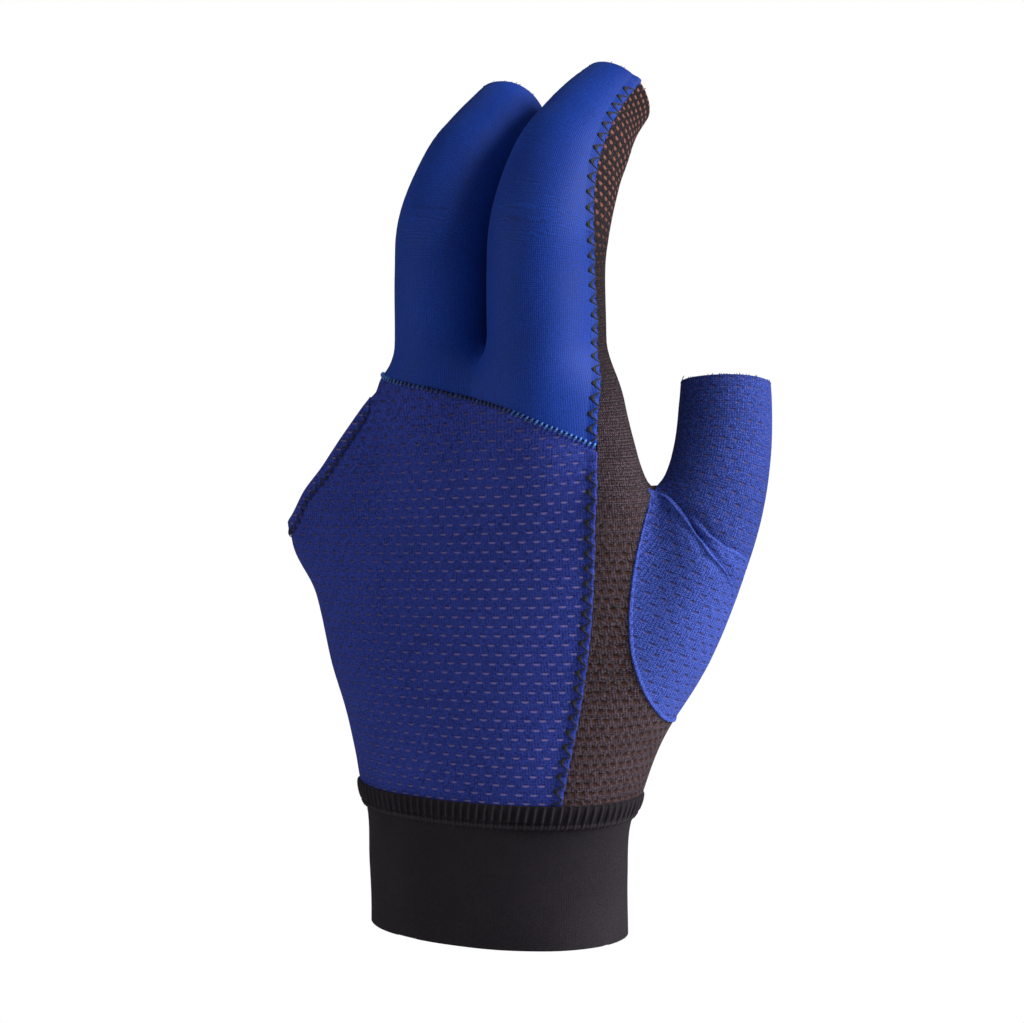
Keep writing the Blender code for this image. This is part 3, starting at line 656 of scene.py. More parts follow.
def relax(points, quads):
    """Evens out the quads without leaving the form."""
    ends = np.vstack([quads[:, [k, (k + 1) % 4]] for k in range(4)])
    for _ in range(round(RELAX_ROUNDS)):
        total = np.zeros_like(points)
        count = np.zeros(len(points))
        for a, b in ((0, 1), (1, 0)):
            np.add.at(total, ends[:, a], points[ends[:, b]])
            np.add.at(count, ends[:, a], 1)
        moved = to_form(points + 0.5 * (total / count[:, None] - points), 2)
        good = np.abs(form(moved)) < 0.1
        points = np.where(good[:, None], moved, points)
    return to_form(points)


def triangles(points, quads):
    a, b, c, d = (points[quads[:, k]] for k in range(4))
    short = np.linalg.norm(a - c, axis=1) <= np.linalg.norm(b - d, axis=1)
    first = np.where(short[:, None], quads[:, [0, 1, 2]], quads[:, [0, 1, 3]])
    second = np.where(short[:, None], quads[:, [0, 2, 3]], quads[:, [1, 2, 3]])
    return np.vstack([first, second])


def slope_along(points, seam, step=0.1):
    """How a seam's value changes along the form."""
    slope = [seam(points + shift) - seam(points - shift) for shift in np.eye(3) * step]
    slope = np.column_stack(slope) / (2 * step)
    normal = normals_of(points)
    return slope - normal * (slope * normal).sum(1)[:, None]


def slide_onto(points, seam):
    """Moves points along the form onto a seam."""
    for _ in range(round(RELAX_ROUNDS)):
        slope = slope_along(points, seam)
        size = np.maximum((slope**2).sum(1), 0.1)
        points = to_form(points - slope * (seam(points) / size)[:, None], 1)
    return points


class Surface:
    """The form's triangles, each with the name of the piece that it belongs to."""

    def __init__(self, cell):
        points, quads = form_quads(cell)
        self.points = relax(to_form(points), quads)
        self.faces = triangles(self.points, quads)
        self.names = np.full(len(self.faces), "panel", dtype=object)
        self.on_seam = np.zeros(len(self.points), bool)
        self.cell = cell

    def cut(self, name, seam, other):
        """Cuts the named piece along a seam; the part where the seam is negative is renamed."""
        chosen = self.names == name
        used = np.unique(self.faces[chosen])
        value = np.zeros(len(self.points))
        value[used] = seam(self.points[used])
        used = used[np.abs(value[used]) < 4 * self.cell]
        slope = slope_along(self.points[used], seam)
        size = np.linalg.norm(slope, axis=1)
        near = np.abs(value[used]) < SNAP * self.cell * size
        near = used[near & (size > 0.5) & ~self.on_seam[used]]
        if len(near):
            self.points[near] = slide_onto(self.points[near], seam)
            value[near] = 0
            self.on_seam[near] = True
        value[np.abs(value) < 1e-6] = 0
        faces = self.faces[chosen]
        ends = np.vstack([faces[:, [0, 1]], faces[:, [1, 2]], faces[:, [2, 0]]])
        ends = np.unique(np.sort(ends, axis=1), axis=0)
        ends = ends[value[ends[:, 0]] * value[ends[:, 1]] < 0]
        first = len(self.points)
        middle = {}
        if len(ends):
            share = value[ends[:, 0]] / (value[ends[:, 0]] - value[ends[:, 1]])
            run = self.points[ends[:, 1]] - self.points[ends[:, 0]]
            made = to_form(self.points[ends[:, 0]] + run * share[:, None], 2)
            middle = {tuple(pair): first + k for k, pair in enumerate(ends.tolist())}
            self.points = np.vstack([self.points, made])
            self.on_seam = np.concatenate([self.on_seam, np.ones(len(made), bool)])
            value = np.concatenate([value, np.zeros(len(made))])
        pieces = []
        for face in faces.tolist():
            pieces += split_face(face, value, middle)
        pieces = np.array(pieces)
        keep = value[pieces].sum(1) >= 0
        named = np.where(keep, name, other).astype(object)
        self.faces = np.vstack([self.faces[~chosen], pieces])
        self.names = np.concatenate([self.names[~chosen], named])


def split_face(face, value, middle):
    """A triangle, or the two or three that a seam cuts it into."""

    def between(a, b):
        return middle[(min(a, b), max(a, b))]

    sides = [value[k] for k in face]
    if min(sides) >= 0 or max(sides) <= 0:
        return [face]
    if 0 in sides:
        k = sides.index(0)
        a, b, c = face[k], face[(k + 1) % 3], face[(k + 2) % 3]
        m = between(b, c)
        return [[a, b, m], [a, m, c]]
    alone = [k for k in range(3) if sides[k] * sides[(k + 1) % 3] < 0 and sides[k] * sides[k - 1] < 0]
    k = alone[0]
    a, b, c = face[k], face[(k + 1) % 3], face[(k + 2) % 3]
    m, n = between(a, b), between(a, c)
    return [[a, m, n], [m, b, n], [b, c, n]]


SEAMS = (
    # piece, seam, name of the other side
    ("panel", above_wrist, "waste"),
    ("panel", above_cuff, "cuff"),
    ("panel", above_band, "cuff_seam"),
    ("panel", inside_index, "waste"),
    ("panel", inside_middle, "waste"),
    ("panel", inside_thumb, "waste"),
    ("panel", below_rim, "waste"),
    ("panel", beyond_thumb_seam, "thumb_sleeve"),
    ("panel", below_hem, "opening_hem"),
    ("panel", on_back, "palm_panel"),
    ("panel", above_knuckles, "back_panel"),
)


def border(faces):
    """Directed edges that only one triangle has."""
    ends = np.vstack([faces[:, [0, 1]], faces[:, [1, 2]], faces[:, [2, 0]]])
    known = {tuple(pair) for pair in ends.tolist()}
    return np.array([pair for pair in ends.tolist() if (pair[1], pair[0]) not in known])


# Knit patterns. A chart gives every point of the cloth its place in the pattern, in millimetres.

CHART_HEIGHTS = np.linspace(-10, 145, 63)
CHART_ANGLES = np.linspace(-math.pi, math.pi, 361)
# How much the rows of the back's mesh climb to the thumb side, at the knuckles
ROW_CLIMB = 0.10
THUMB_ROUND = 11.9
FINGER_ROUND = 12.3
THENAR_CHART_FROM = 82.0
THENAR_CHART_TO = 104.0
FINGER_CHART_FROM = 112.0
FINGER_CHART_TO = 134.0


def section_lengths():
    """Length round the hand's section from the middle of the back, by height and angle."""
    middle, a, b, power = (v[:, None] for v in hand_section(CHART_HEIGHTS))
    sine, cosine = np.sin(CHART_ANGLES), np.cos(CHART_ANGLES)
    size = (np.abs(sine) ** power + np.abs(cosine) ** power) ** (-1 / power)
    x, y = a * size * sine, -b * size * cosine
    steps = np.hypot(np.diff(x, axis=1), np.diff(y, axis=1))
    lengths = np.column_stack([np.zeros(len(steps)), np.cumsum(steps, axis=1)])
    return lengths - lengths[:, len(CHART_ANGLES) // 2][:, None]


LENGTHS = section_lengths()


def body_chart(p, from_palm=False):
    """Across and up on the hand; from_palm counts on past the thumb side to the palm."""
    middle, a, b, _ = hand_section(p[:, 2])
    angle = np.arctan2((p[:, 0] - middle) / a, -p[:, 1] / b)
    h = np.interp(p[:, 2], CHART_HEIGHTS, np.arange(len(CHART_HEIGHTS)))
    k = (angle + math.pi) / (CHART_ANGLES[1] - CHART_ANGLES[0])
    i = np.clip(h.astype(int), 0, len(CHART_HEIGHTS) - 2)
    j = np.clip(k.astype(int), 0, len(CHART_ANGLES) - 2)
    s, t = h - i, k - j
    low = LENGTHS[i, j] * (1 - t) + LENGTHS[i, j + 1] * t
    high = LENGTHS[i + 1, j] * (1 - t) + LENGTHS[i + 1, j + 1] * t
    across = low * (1 - s) + high * s
    if from_palm:
        whole = 2 * np.interp(p[:, 2], CHART_HEIGHTS, LENGTHS[:, -1])
        across = np.where(angle < 0, across + whole, across)
    return np.column_stack([across, p[:, 2]])


def tube_chart(tube, p, round_length, from_palm=False):
    """Round and along on a finger, counted from its back or its palm side."""
    position = tube.nearest(p)
    away = p - tube.at(position, tube.axis)
    size = tube.at(position, tube.sizes)
    u = (away * unit(tube.at(position, tube.across))).sum(1) / size[:, 0]
    v = (away * unit(tube.at(position, tube.depth))).sum(1) / size[:, 1]
    angle = np.arctan2(u, -v)
    if from_palm:
        angle = np.where(angle < 0, angle + math.pi, angle - math.pi)
    steps = np.linalg.norm(np.diff(tube.axis, axis=0), axis=1)
    along_axis = np.concatenate([[0], np.cumsum(steps)])
    return np.column_stack(
        [angle * round_length, np.interp(position, np.arange(len(tube.axis)), along_axis)]
    )


def finger_chart(p, from_palm):
    """The fingers' own charts, joined to the hand's at the roots of the fingers."""
    side = 1 if from_palm else -1
    made = np.zeros((len(p), 2))
    for tube, own in ((INDEX, p[:, 0] > valley(p[:, 2])), (MIDDLE, p[:, 0] <= valley(p[:, 2]))):
        root = np.array([[np.interp(FINGER_BASE, tube.axis[:, 2], tube.axis[:, 0]), side, FINGER_BASE]])
        root_at = body_chart(root, from_palm)[0]
        start = np.interp(FINGER_BASE, tube.axis[:, 2], np.arange(len(tube.axis)))
        start_point = tube.at(np.array([start]), tube.axis)
        zero = tube_chart(tube, start_point + [[0, side, 0]], FINGER_ROUND, from_palm)[0]
        made[own] = tube_chart(tube, p[own], FINGER_ROUND, from_palm) - zero + root_at
    return made


def chart(name, p):
    """Place of each point in its piece's knit."""
    if name == "thumb_sleeve":
        made = tube_chart(THUMB, p, THUMB_ROUND)
        position = np.interp(THENAR_CHART_TO, THUMB.axis[:, 2], np.arange(len(THUMB.axis)))
        top = THUMB.at(np.array([position]), THUMB.axis)
        run = unit(THUMB.axis[int(position)] - THUMB.axis[int(position * 0.45)])
        level = tube_chart(THUMB, top, THUMB_ROUND)[0, 1] + (p - top) @ run
        share = (p[:, 2] - THENAR_CHART_FROM) / (THENAR_CHART_TO - THENAR_CHART_FROM)
        share = np.clip(share, 0, 1)
        share = share * share * (3 - 2 * share)
        made[:, 1] = level * (1 - share) + made[:, 1] * share
        return made
    if name == "finger_tops":
        return finger_chart(p, False)
    if name == "palm_panel":
        body, fingers = body_chart(p, True), finger_chart(p, True)
        share = (p[:, 2] - FINGER_CHART_FROM) / (FINGER_CHART_TO - FINGER_CHART_FROM)
        share = np.clip(share, 0, 1)[:, None]
        return body * (1 - share) + fingers * share
    made = body_chart(p)
    if name == "back_panel":
        rise = np.clip((p[:, 2] - CUFF_HEIGHT) / (FINGER_BASE - CUFF_HEIGHT), 0, 1)
        made[:, 1] -= ROW_CLIMB * rise * made[:, 0]
    return made


# Materials

class Nodes:
    """Shorthand for the nodes of one material."""

    def __init__(self, material):
        material.use_nodes = True
        self.tree = material.node_tree
        self.shader = self.tree.nodes["Principled BSDF"]

    def put(self, socket, value):
        if isinstance(value, bpy.types.NodeSocket):
            self.tree.links.new(value, socket)
        else:
            socket.default_value = value

    def math(self, operation, *values):
        node = self.tree.nodes.new("ShaderNodeMath")
        node.operation = operation
        for socket, value in zip(node.inputs, values):
            self.put(socket, value)
        return node.outputs[0]

    def mapped(self, value, low, high, to_low=0.0, to_high=1.0):
        node = self.tree.nodes.new("ShaderNodeMapRange")
        node.interpolation_type = "SMOOTHSTEP"
        for socket, given in zip(node.inputs[:5], (value, low, high, to_low, to_high)):
            self.put(socket, given)
        return node.outputs[0]

    def noise(self, place, scale, detail=2.0):
        node = self.tree.nodes.new("ShaderNodeTexNoise")
        self.put(node.inputs["Vector"], place)
        node.inputs["Scale"].default_value = scale
        node.inputs["Detail"].default_value = detail
        return node.outputs["Fac"]

    def mix(self, share, a, b):
        node = self.tree.nodes.new("ShaderNodeMix")
        node.data_type = "RGBA"
        self.put(node.inputs["Factor"], share)
        self.put(node.inputs["A"], a if isinstance(a, bpy.types.NodeSocket) else (*a, 1))
        self.put(node.inputs["B"], b if isinstance(b, bpy.types.NodeSocket) else (*b, 1))
        return node.outputs["Result"]

    def attribute(self, name):
        node = self.tree.nodes.new("ShaderNodeAttribute")
        node.attribute_name = name
        return node

    def chart(self):
        """Across and up in the knit, in millimetres."""
        node = self.tree.nodes.new("ShaderNodeUVMap")
        node.uv_map = "knit"
        parts = self.tree.nodes.new("ShaderNodeSeparateXYZ")
        self.tree.links.new(node.outputs[0], parts.inputs[0])
        return (self.math("MULTIPLY", parts.outputs[k], UV_SCALE) for k in (0, 1))

    def bump(self, height, strength, distance):
        node = self.tree.nodes.new("ShaderNodeBump")
        node.inputs["Strength"].default_value = strength
        node.inputs["Distance"].default_value = distance
        self.put(node.inputs["Height"], height)
        self.put(self.shader.inputs["Normal"], node.outputs[0])


UV_SCALE = 200.0
OBJECT_TO_MM = 1000.0


def cloth_material(name, look):
    """Knit cloth: wales and rows of loops, eyelets in offset rows, a painted sheen speckle and a soft fuzz."""
    material = bpy.data.materials.new(name)
    n = Nodes(material)
    u, v = n.chart()
    place = n.tree.nodes.new("ShaderNodeTexCoord").outputs["Object"]
    fine = n.noise(place, look["speckle_scale"] * OBJECT_TO_MM)
    broad = n.noise(place, 0.05 * OBJECT_TO_MM, 3.0)
    jitter = n.noise(place, 0.5 * OBJECT_TO_MM)
    u = n.math("ADD", u, n.math("MULTIPLY", n.math("SUBTRACT", jitter, 0.5), look["jitter"]))
    v = n.math("ADD", v, n.math("MULTIPLY", n.math("SUBTRACT", fine, 0.5), look["jitter"] / 2))

    wale = n.math("DIVIDE", u, look["wale"])
    ridge = n.math("ABSOLUTE", n.math("SUBTRACT", n.math("FRACT", wale), 0.5))
    lean = n.math("MULTIPLY", ridge, 1.3)
    loop = n.math("FRACT", n.math("ADD", n.math("DIVIDE", v, look["course"]), lean))
    loop = n.math("ABSOLUTE", n.math("SUBTRACT", loop, 0.5))
    knit = n.math("ADD", n.math("MULTIPLY", ridge, look["rib"]), n.math("MULTIPLY", loop, 1.0))

    if look["hole"]:
        wide, tall, across, up = look["hole"]
        row = n.math("DIVIDE", v, up)
        row_number = n.math("FLOOR", row)
        half = n.math("MULTIPLY", n.math("MODULO", n.math("ABSOLUTE", row_number), 2.0), 0.5)
        column = n.math("ADD", n.math("DIVIDE", u, across), half)
        x = n.math("MULTIPLY", n.math("SUBTRACT", n.math("FRACT", column), 0.5), 2 * across / wide)
        y = n.math("MULTIPLY", n.math("SUBTRACT", n.math("FRACT", row), 0.5), 2 * up / tall)
        away = n.math("SQRT", n.math("ADD", n.math("MULTIPLY", x, x), n.math("MULTIPLY", y, y)))
        away = n.math("ADD", away, n.math("MULTIPLY", n.math("SUBTRACT", fine, 0.5), 0.9))
        open_share = n.attribute("open").outputs["Fac"]
        hole = n.math("MULTIPLY", n.mapped(away, 1.25, 0.65), open_share)
        pull = n.math("MULTIPLY", n.mapped(away, 2.2, 1.1), 0.35)
        if look["ribs"]:
            rib = n.math("ABSOLUTE", n.math("SUBTRACT", n.math("FRACT", n.math("DIVIDE", v, look["ribs"])), 0.5))
            shut = n.math("SUBTRACT", 1.0, open_share)
            rib = n.math("MULTIPLY", n.math("MULTIPLY", n.math("SUBTRACT", rib, 0.27), shut), 0.9)
            knit = n.math("ADD", knit, rib)
    else:
        hole, pull = 0.0, 0.0

    # The fine speckle in the tone is painted fibre sheen
    tone = n.math("ADD", n.math("MULTIPLY", knit, look["knit_tone"]), n.math("MULTIPLY", fine, look["sheen_speckle"]))
    tone = n.math("ADD", tone, n.math("MULTIPLY", n.math("SUBTRACT", broad, 0.5), look["broad"]))
    # Per-point painted shading: painted shade on the thumb's tube and the palm panel's upper part, painted light and
    # shade on the band's ribs
    tone = n.math("ADD", tone, n.attribute("painted_shading").outputs["Fac"])
    base = n.mix(n.mapped(tone, *look["range"]), look["dark"], look["light"])
    if look["hole"]:
        # Inside each eyelet: painted shade in the upper half under the thread above, painted light in the lower
        # half, scaled by the point's share of painted eyelet light
        lit = n.math("MULTIPLY", n.mapped(y, 0.8, 0.0), n.attribute("eyelet_painted_light").outputs["Fac"])
        inside = n.mix(lit, look["hole_painted_shade"], look["hole_painted_light"])
        base = n.mix(hole, base, inside)
    n.put(n.shader.inputs["Base Color"], base)
    n.put(n.shader.inputs["Roughness"], n.mapped(fine, 0.2, 0.8, look["roughness"] - 0.08, look["roughness"] + 0.08))
    n.shader.inputs["Specular IOR Level"].default_value = look["specular"]
    n.shader.inputs["Sheen Weight"].default_value = look["sheen"]
    n.shader.inputs["Sheen Roughness"].default_value = 0.45
    n.shader.inputs["Sheen Tint"].default_value = (*look["sheen_colour"], 1)
    height = n.math("ADD", knit, n.math("MULTIPLY", fine, 0.8))
    if look["hole"]:
        height = n.math("SUBTRACT", height, n.math("MULTIPLY", hole, 1.6))
        height = n.math("SUBTRACT", height, pull)
    n.bump(height, look["bump"], 0.00018)
    return material


# Each look's two eyelet colours are painted: painted shade for the upper half, painted light for the lower half
LOOKS = {
    "blue_mesh": {
        "dark": (0.012, 0.024, 0.150),
        "light": (0.078, 0.130, 0.580),
        "hole_painted_shade": (0.012, 0.012, 0.055),
        "hole_painted_light": (0.110, 0.090, 0.260),
        "hole": (1.45, 0.52, 3.3, 1.93),
        "ribs": 0.0,
        "wale": 0.64,
        "course": 0.48,
        "rib": 0.7,
        "knit_tone": 0.45,
        "sheen_speckle": 1.10,
        "speckle_scale": 3.0,
        "broad": 0.12,
        "jitter": 0.30,
        "range": (0.45, 1.02),
        "roughness": 0.82,
        "specular": 0.12,
        "sheen": 0.03,
        "sheen_colour": (0.35, 0.45, 0.9),
        "bump": 0.75,
    },
    "blue_smooth": {
        "dark": (0.0010, 0.018, 0.170),
        "light": (0.0050, 0.066, 0.500),
        "hole_painted_shade": (0.0, 0.0, 0.0),
        "hole": None,
        "ribs": 0.0,
        "wale": 0.42,
        "course": 0.36,
        "rib": 0.8,
        "knit_tone": 0.45,
        "sheen_speckle": 0.45,
        "speckle_scale": 4.0,
        "broad": 0.15,
        "jitter": 0.10,
        "range": (0.36, 0.62),
        "roughness": 0.62,
        "specular": 0.22,
        "sheen": 0.08,
        "sheen_colour": (0.3, 0.45, 0.95),
        "bump": 0.35,
    },
    "black_mesh": {
        "dark": (0.011, 0.0075, 0.0095),
        "light": (0.125, 0.088, 0.106),
        "hole_painted_shade": (0.003, 0.002, 0.002),
        "hole_painted_light": (0.200, 0.080, 0.060),
        "hole": (1.20, 1.05, 2.0, 1.95),
        "ribs": 0.65,
        "wale": 0.56,
        "course": 0.42,
        "rib": 0.7,
        "knit_tone": 0.50,
        "sheen_speckle": 0.95,
        "speckle_scale": 2.5,
        "broad": 0.25,
        "jitter": 0.35,
        "range": (0.48, 1.00),
        "roughness": 0.85,
        "specular": 0.10,
        "sheen": 0.03,
        "sheen_colour": (0.8, 0.7, 0.75),
        "bump": 0.8,
    },
    "black_smooth": {
        "dark": (0.010, 0.0085, 0.0115),
        "light": (0.036, 0.029, 0.038),
        "hole_painted_shade": (0.0, 0.0, 0.0),
        "hole": None,
        "ribs": 0.0,
        "wale": 0.50,
        "course": 0.40,
        "rib": 0.6,
        "knit_tone": 0.40,
        "sheen_speckle": 0.6,
        "speckle_scale": 3.0,
        "broad": 0.35,
        "jitter": 0.15,
        "range": (0.25, 0.85),
        "roughness": 0.80,
        "specular": 0.12,
        "sheen": 0.03,
        "sheen_colour": (0.8, 0.7, 0.75),
        "bump": 0.4,
    },
}
# On the back of the hand the mesh is drawn thinner and looks darker
LOOKS["blue_mesh_back"] = {
    **LOOKS["blue_mesh"],
    "dark": (0.006, 0.012, 0.105),
    "light": (0.046, 0.073, 0.420),
    "hole": (1.55, 0.62, 3.3, 1.93),
    # Its eyelets get deeper painted shade and paler painted light
    "hole_painted_shade": (0.006, 0.007, 0.040),
    "hole_painted_light": (0.230, 0.190, 0.460),
}
THREADS = {
    # name: dark, light, roughness
    "black_thread": ((0.002, 0.0016, 0.002), (0.010, 0.008, 0.009), 0.75),
    "cyan_thread": ((0.003, 0.010, 0.060), (0.050, 0.220, 0.640), 0.50),
    "navy_thread": ((0.004, 0.008, 0.035), (0.012, 0.022, 0.085), 0.50),
}


def thread_material(name):
    """Thread with fine twist lines and a little colour variation."""
    dark, light, roughness = THREADS[name]
    material = bpy.data.materials.new(name)
    n = Nodes(material)
    u, v = n.chart()
    place = n.tree.nodes.new("ShaderNodeTexCoord").outputs["Object"]
    fine = n.noise(place, 2.5 * OBJECT_TO_MM)
    twist = n.math("SINE", n.math("ADD", n.math("MULTIPLY", u, 14.0), n.math("MULTIPLY", v, 6.283)))
    tone = n.math("ADD", n.math("MULTIPLY", twist, 0.25), fine)
    tone = n.math("MULTIPLY", tone, n.attribute("tone").outputs["Fac"])
    n.put(n.shader.inputs["Base Color"], n.mix(n.mapped(tone, 0.1, 0.9), dark, light))
    n.put(n.shader.inputs["Roughness"], n.mapped(fine, 0.2, 0.8, roughness - 0.1, roughness + 0.1))
    n.bump(twist, 0.4, 0.00005)
    return material


MATERIALS = {name: cloth_material(name, look) for name, look in LOOKS.items()}
MATERIALS.update({name: thread_material(name) for name in THREADS})


def add_piece(name, points, faces, material, uv=None, values=None, wrap=0.0, smooth=60):
    """A mesh in millimetres, with its chart and its values at the points."""
    mesh = bpy.data.meshes.new(name)
    mesh.from_pydata((points / 1000).tolist(), [], [list(face) for face in faces])
    mesh.shade_smooth()
    if smooth:
        mesh.set_sharp_from_angle(angle=math.radians(smooth))
    corners = np.empty(len(mesh.loops), int)
    mesh.loops.foreach_get("vertex_index", corners)
    if uv is not None:
        place = uv[corners]
        if wrap:
            starts = np.empty(len(mesh.polygons), int)
            counts = np.empty(len(mesh.polygons), int)
            mesh.polygons.foreach_get("loop_start", starts)
            mesh.polygons.foreach_get("loop_total", counts)
            first = np.repeat(place[starts, 0], counts)
            place[:, 0] -= np.round((place[:, 0] - first) / wrap) * wrap
        layer = mesh.uv_layers.new(name="knit")
        layer.data.foreach_set("uv", (place / UV_SCALE).ravel())
    for key, value in (values or {}).items():
        layer = mesh.attributes.new(key, "FLOAT", "POINT")
        layer.data.foreach_set("value", np.asarray(value, np.float32))
    mesh.materials.append(MATERIALS[material])
    piece = bpy.data.objects.new(name, mesh)
    bpy.context.scene.collection.objects.link(piece)
    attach(piece, "root")
    return piece


# Panels

PANELS = {
    # name: material, wall, how far it stands proud, roundness of the edge
    "cuff": ("black_smooth", CUFF_WALL, 0.0, 0.45),
    "cuff_seam": ("black_smooth", BAND_WALL, BAND_RAISE - 0.35, 0.2),
    "back_panel": ("blue_mesh_back", MESH_WALL, 0.0, 0.3),
    "finger_tops": ("blue_smooth", SMOOTH_WALL, 0.0, 0.35),
    "palm_panel": ("black_mesh", MESH_WALL, 0.0, 0.3),
    "thumb_sleeve": ("blue_mesh", MESH_WALL, 0.0, 0.3),
    "opening_hem": ("blue_mesh_back", HEM_WALL, HEM_RAISE, 0.5),
}
WAVES = (
    # length of the wave, height, direction x, y, z
    (31.0, 0.10, 0.3, 0.2, 1.0),
    (19.0, 0.07, -0.8, 0.4, 0.6),
    (12.5, 0.05, 0.9, 0.3, -0.5),
)


def waviness(p):
    """Slight unevenness of stretched cloth."""
    total = np.zeros(len(p))
    for length, height, *direction in WAVES:
        total += height * np.sin(p @ unit(np.array(direction)) * 2 * math.pi / length)
    return total


def open_share(name, p):
    """How open the eyelets are: the black mesh is drawn shut beside the fingers' roots."""
    if name != "palm_panel":
        return np.full(len(p), 0.85)
    x, y, z = p.T
    visible_side = np.clip((12 - y) / 10, 0, 1)
    shut = np.clip((z - 84) / 16, 0, 1) * np.clip((158 - z) / 14, 0, 1)
    return 1 - 0.8 * shut * visible_side


def eyelet_painted_light_share(name, p):
    """Share of painted light in the eyelets' lower halves: on the back it grows to the thumb's side, where the light
    falls, and is lower near the knuckles, where shade falls; on the palm panel it is strongest near the index
    finger's opening, as painted glints.
    """
    x, y, z = p.T
    if name == "palm_panel":
        return 0.25 + 0.75 * np.clip((z - 140) / 20, 0, 1) * np.clip((x - 14) / 6, 0, 1)
    if name == "back_panel":
        return np.clip(0.55 + (x + 12) / 60, 0.25, 1) * np.clip((122 - z) / 26, 0.35, 1)
    return np.full(len(p), 0.6)


def painted_shade_share(name, p):
    """Painted shade: how much the thread's tone is lowered up the thumb's tube and on the palm panel's upper part.
    """
    if name == "thumb_sleeve":
        return -0.13 * np.clip((p[:, 2] - 72) / 22, 0, 1)
    if name == "palm_panel":
        return -0.22 * np.clip((p[:, 2] - 96) / 34, 0, 1)
    return np.zeros(len(p))


def panel(surface, name):
    material, wall, raised, rounded = PANELS[name]
    faces = surface.faces[surface.names == name]
    used, index = np.unique(faces, return_inverse=True)
    faces = index.reshape(-1, 3)
    points = surface.points[used]
    normal = normals_of(points)
    edges = border(faces)
    run = unit(points[edges[:, 1]] - points[edges[:, 0]])
    inwards = np.cross(unit(normal[edges[:, 0]] + normal[edges[:, 1]]), run)
    push = np.zeros_like(points)
    for end in (0, 1):
        np.add.at(push, edges[:, end], inwards)
    length = np.linalg.norm(push, axis=1)
    rim = length > 0.3
    push[rim] /= np.maximum(length[rim], 1.2)[:, None]
    push[~rim] = 0
    top = waviness(points) + raised
    trimmed = points + push * SEAM_GAP / 2
    outer = trimmed + normal * top[:, None]
    inner = trimmed + normal * (top - wall)[:, None]
    on_edge = np.unique(edges)
    number = np.full(len(points), -1)
    number[on_edge] = np.arange(len(on_edge))
    # The edge's own row of points between both sides makes it round
    middle = (outer[on_edge] + inner[on_edge]) / 2 - push[on_edge] * rounded * wall / 2
    count = len(points)
    a, b = edges[:, 0], edges[:, 1]
    ma, mb = number[a] + 2 * count, number[b] + 2 * count
    sides = np.vstack(
        [
            np.column_stack([b, a, ma]),
            np.column_stack([b, ma, mb]),
            np.column_stack([mb, ma, a + count]),
            np.column_stack([mb, a + count, b + count]),
        ]
    )
    everything = np.vstack([outer, inner, middle])
    everyone = np.vstack([faces, faces[:, ::-1] + count, sides])
    uv = chart(name, points)
    uv = np.vstack([uv, uv, uv[on_edge]])
    # Per-point shares: open eyelets, painted light in the eyelets, painted shade
    values = {
        "open": open_share(name, points),
        "eyelet_painted_light": eyelet_painted_light_share(name, points),
        "painted_shading": painted_shade_share(name, points),
    }
    values = {key: np.concatenate([v, v, v[on_edge]]) for key, v in values.items()}
    wrap = 2 * math.pi * THUMB_ROUND if name == "thumb_sleeve" else 0.0
    piece = add_piece(name + "_cloth", everything, everyone, material, uv, values, wrap)
    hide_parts(name)
    return piece


ON_CLOTH = {name: [] for name in PANELS}


def sewn_on(piece, name):
    """A seam's piece goes with the named cloth."""
    ON_CLOTH[name].append(piece)


surface = Surface(CELL)
for name, seam, other in SEAMS:
    surface.cut(name, seam, other)
surface.names[surface.names == "panel"] = "finger_tops"
PANEL_PIECES = {name: panel(surface, name) for name in PANELS}


# Seams as lines

class Line:
    """A line on the form, with places given by length along it and distance to its left side."""

    def __init__(self, points, closed=False):
        if closed:
            points = np.vstack([points, points[:1]])
        steps = np.linalg.norm(np.diff(points, axis=0), axis=1)
        keep = np.concatenate([[True], steps > 1e-6])
        points = points[keep]
        lengths = np.concatenate([[0], np.cumsum(np.linalg.norm(np.diff(points, axis=0), axis=1))])
        self.length = lengths[-1]
        count = max(int(self.length / 0.6), 8)
        self.s = np.linspace(0, self.length, count)
        even = np.column_stack([np.interp(self.s, lengths, points[:, k]) for k in range(3)])
        for _ in range(3):
            if closed:
                even[:-1] = (np.roll(even[:-1], 1, 0) + 2 * even[:-1] + np.roll(even[:-1], -1, 0)) / 4
                even[-1] = even[0]
            else:
                even[1:-1] = (even[:-2] + 2 * even[1:-1] + even[2:]) / 4
        self.points = to_form(even)
        self.run = unit(np.gradient(self.points, axis=0))
        self.normal = normals_of(self.points)
        side = np.cross(self.normal, self.run)
        for _ in range(6):
            side[1:-1] = (side[:-2] + 2 * side[1:-1] + side[2:]) / 4
        self.side = unit(side)

    def at(self, s, d=0.0, h=0.0):
        """Points at length s along, d to the side on the form and h above it."""
        s = np.clip(s, 0, self.length)
        base = np.column_stack([np.interp(s, self.s, self.points[:, k]) for k in range(3)])
        side = np.column_stack([np.interp(s, self.s, self.side[:, k]) for k in range(3)])
        p = to_form(base + unit(side) * np.reshape(d, (-1, 1)), 2)
        return p + normals_of(p) * (np.reshape(h, (-1, 1)) + waviness(p)[:, None])


def chains(pairs):
    """Joins directed edges end to end; returns lists of points' numbers and if each is closed."""
    after = {a: b for a, b in pairs}
    starts = set(after) - set(after.values())
    made = []
    while after:
        start = starts.pop() if starts else next(iter(after))
        line = [start]
        while line[-1] in after:
            line.append(after.pop(line[-1]))
            if line[-1] == start:
                break
        closed = line[-1] == line[0]
        made.append((line[:-1] if closed else line, closed))
    return sorted(made, key=lambda item: -len(item[0]))


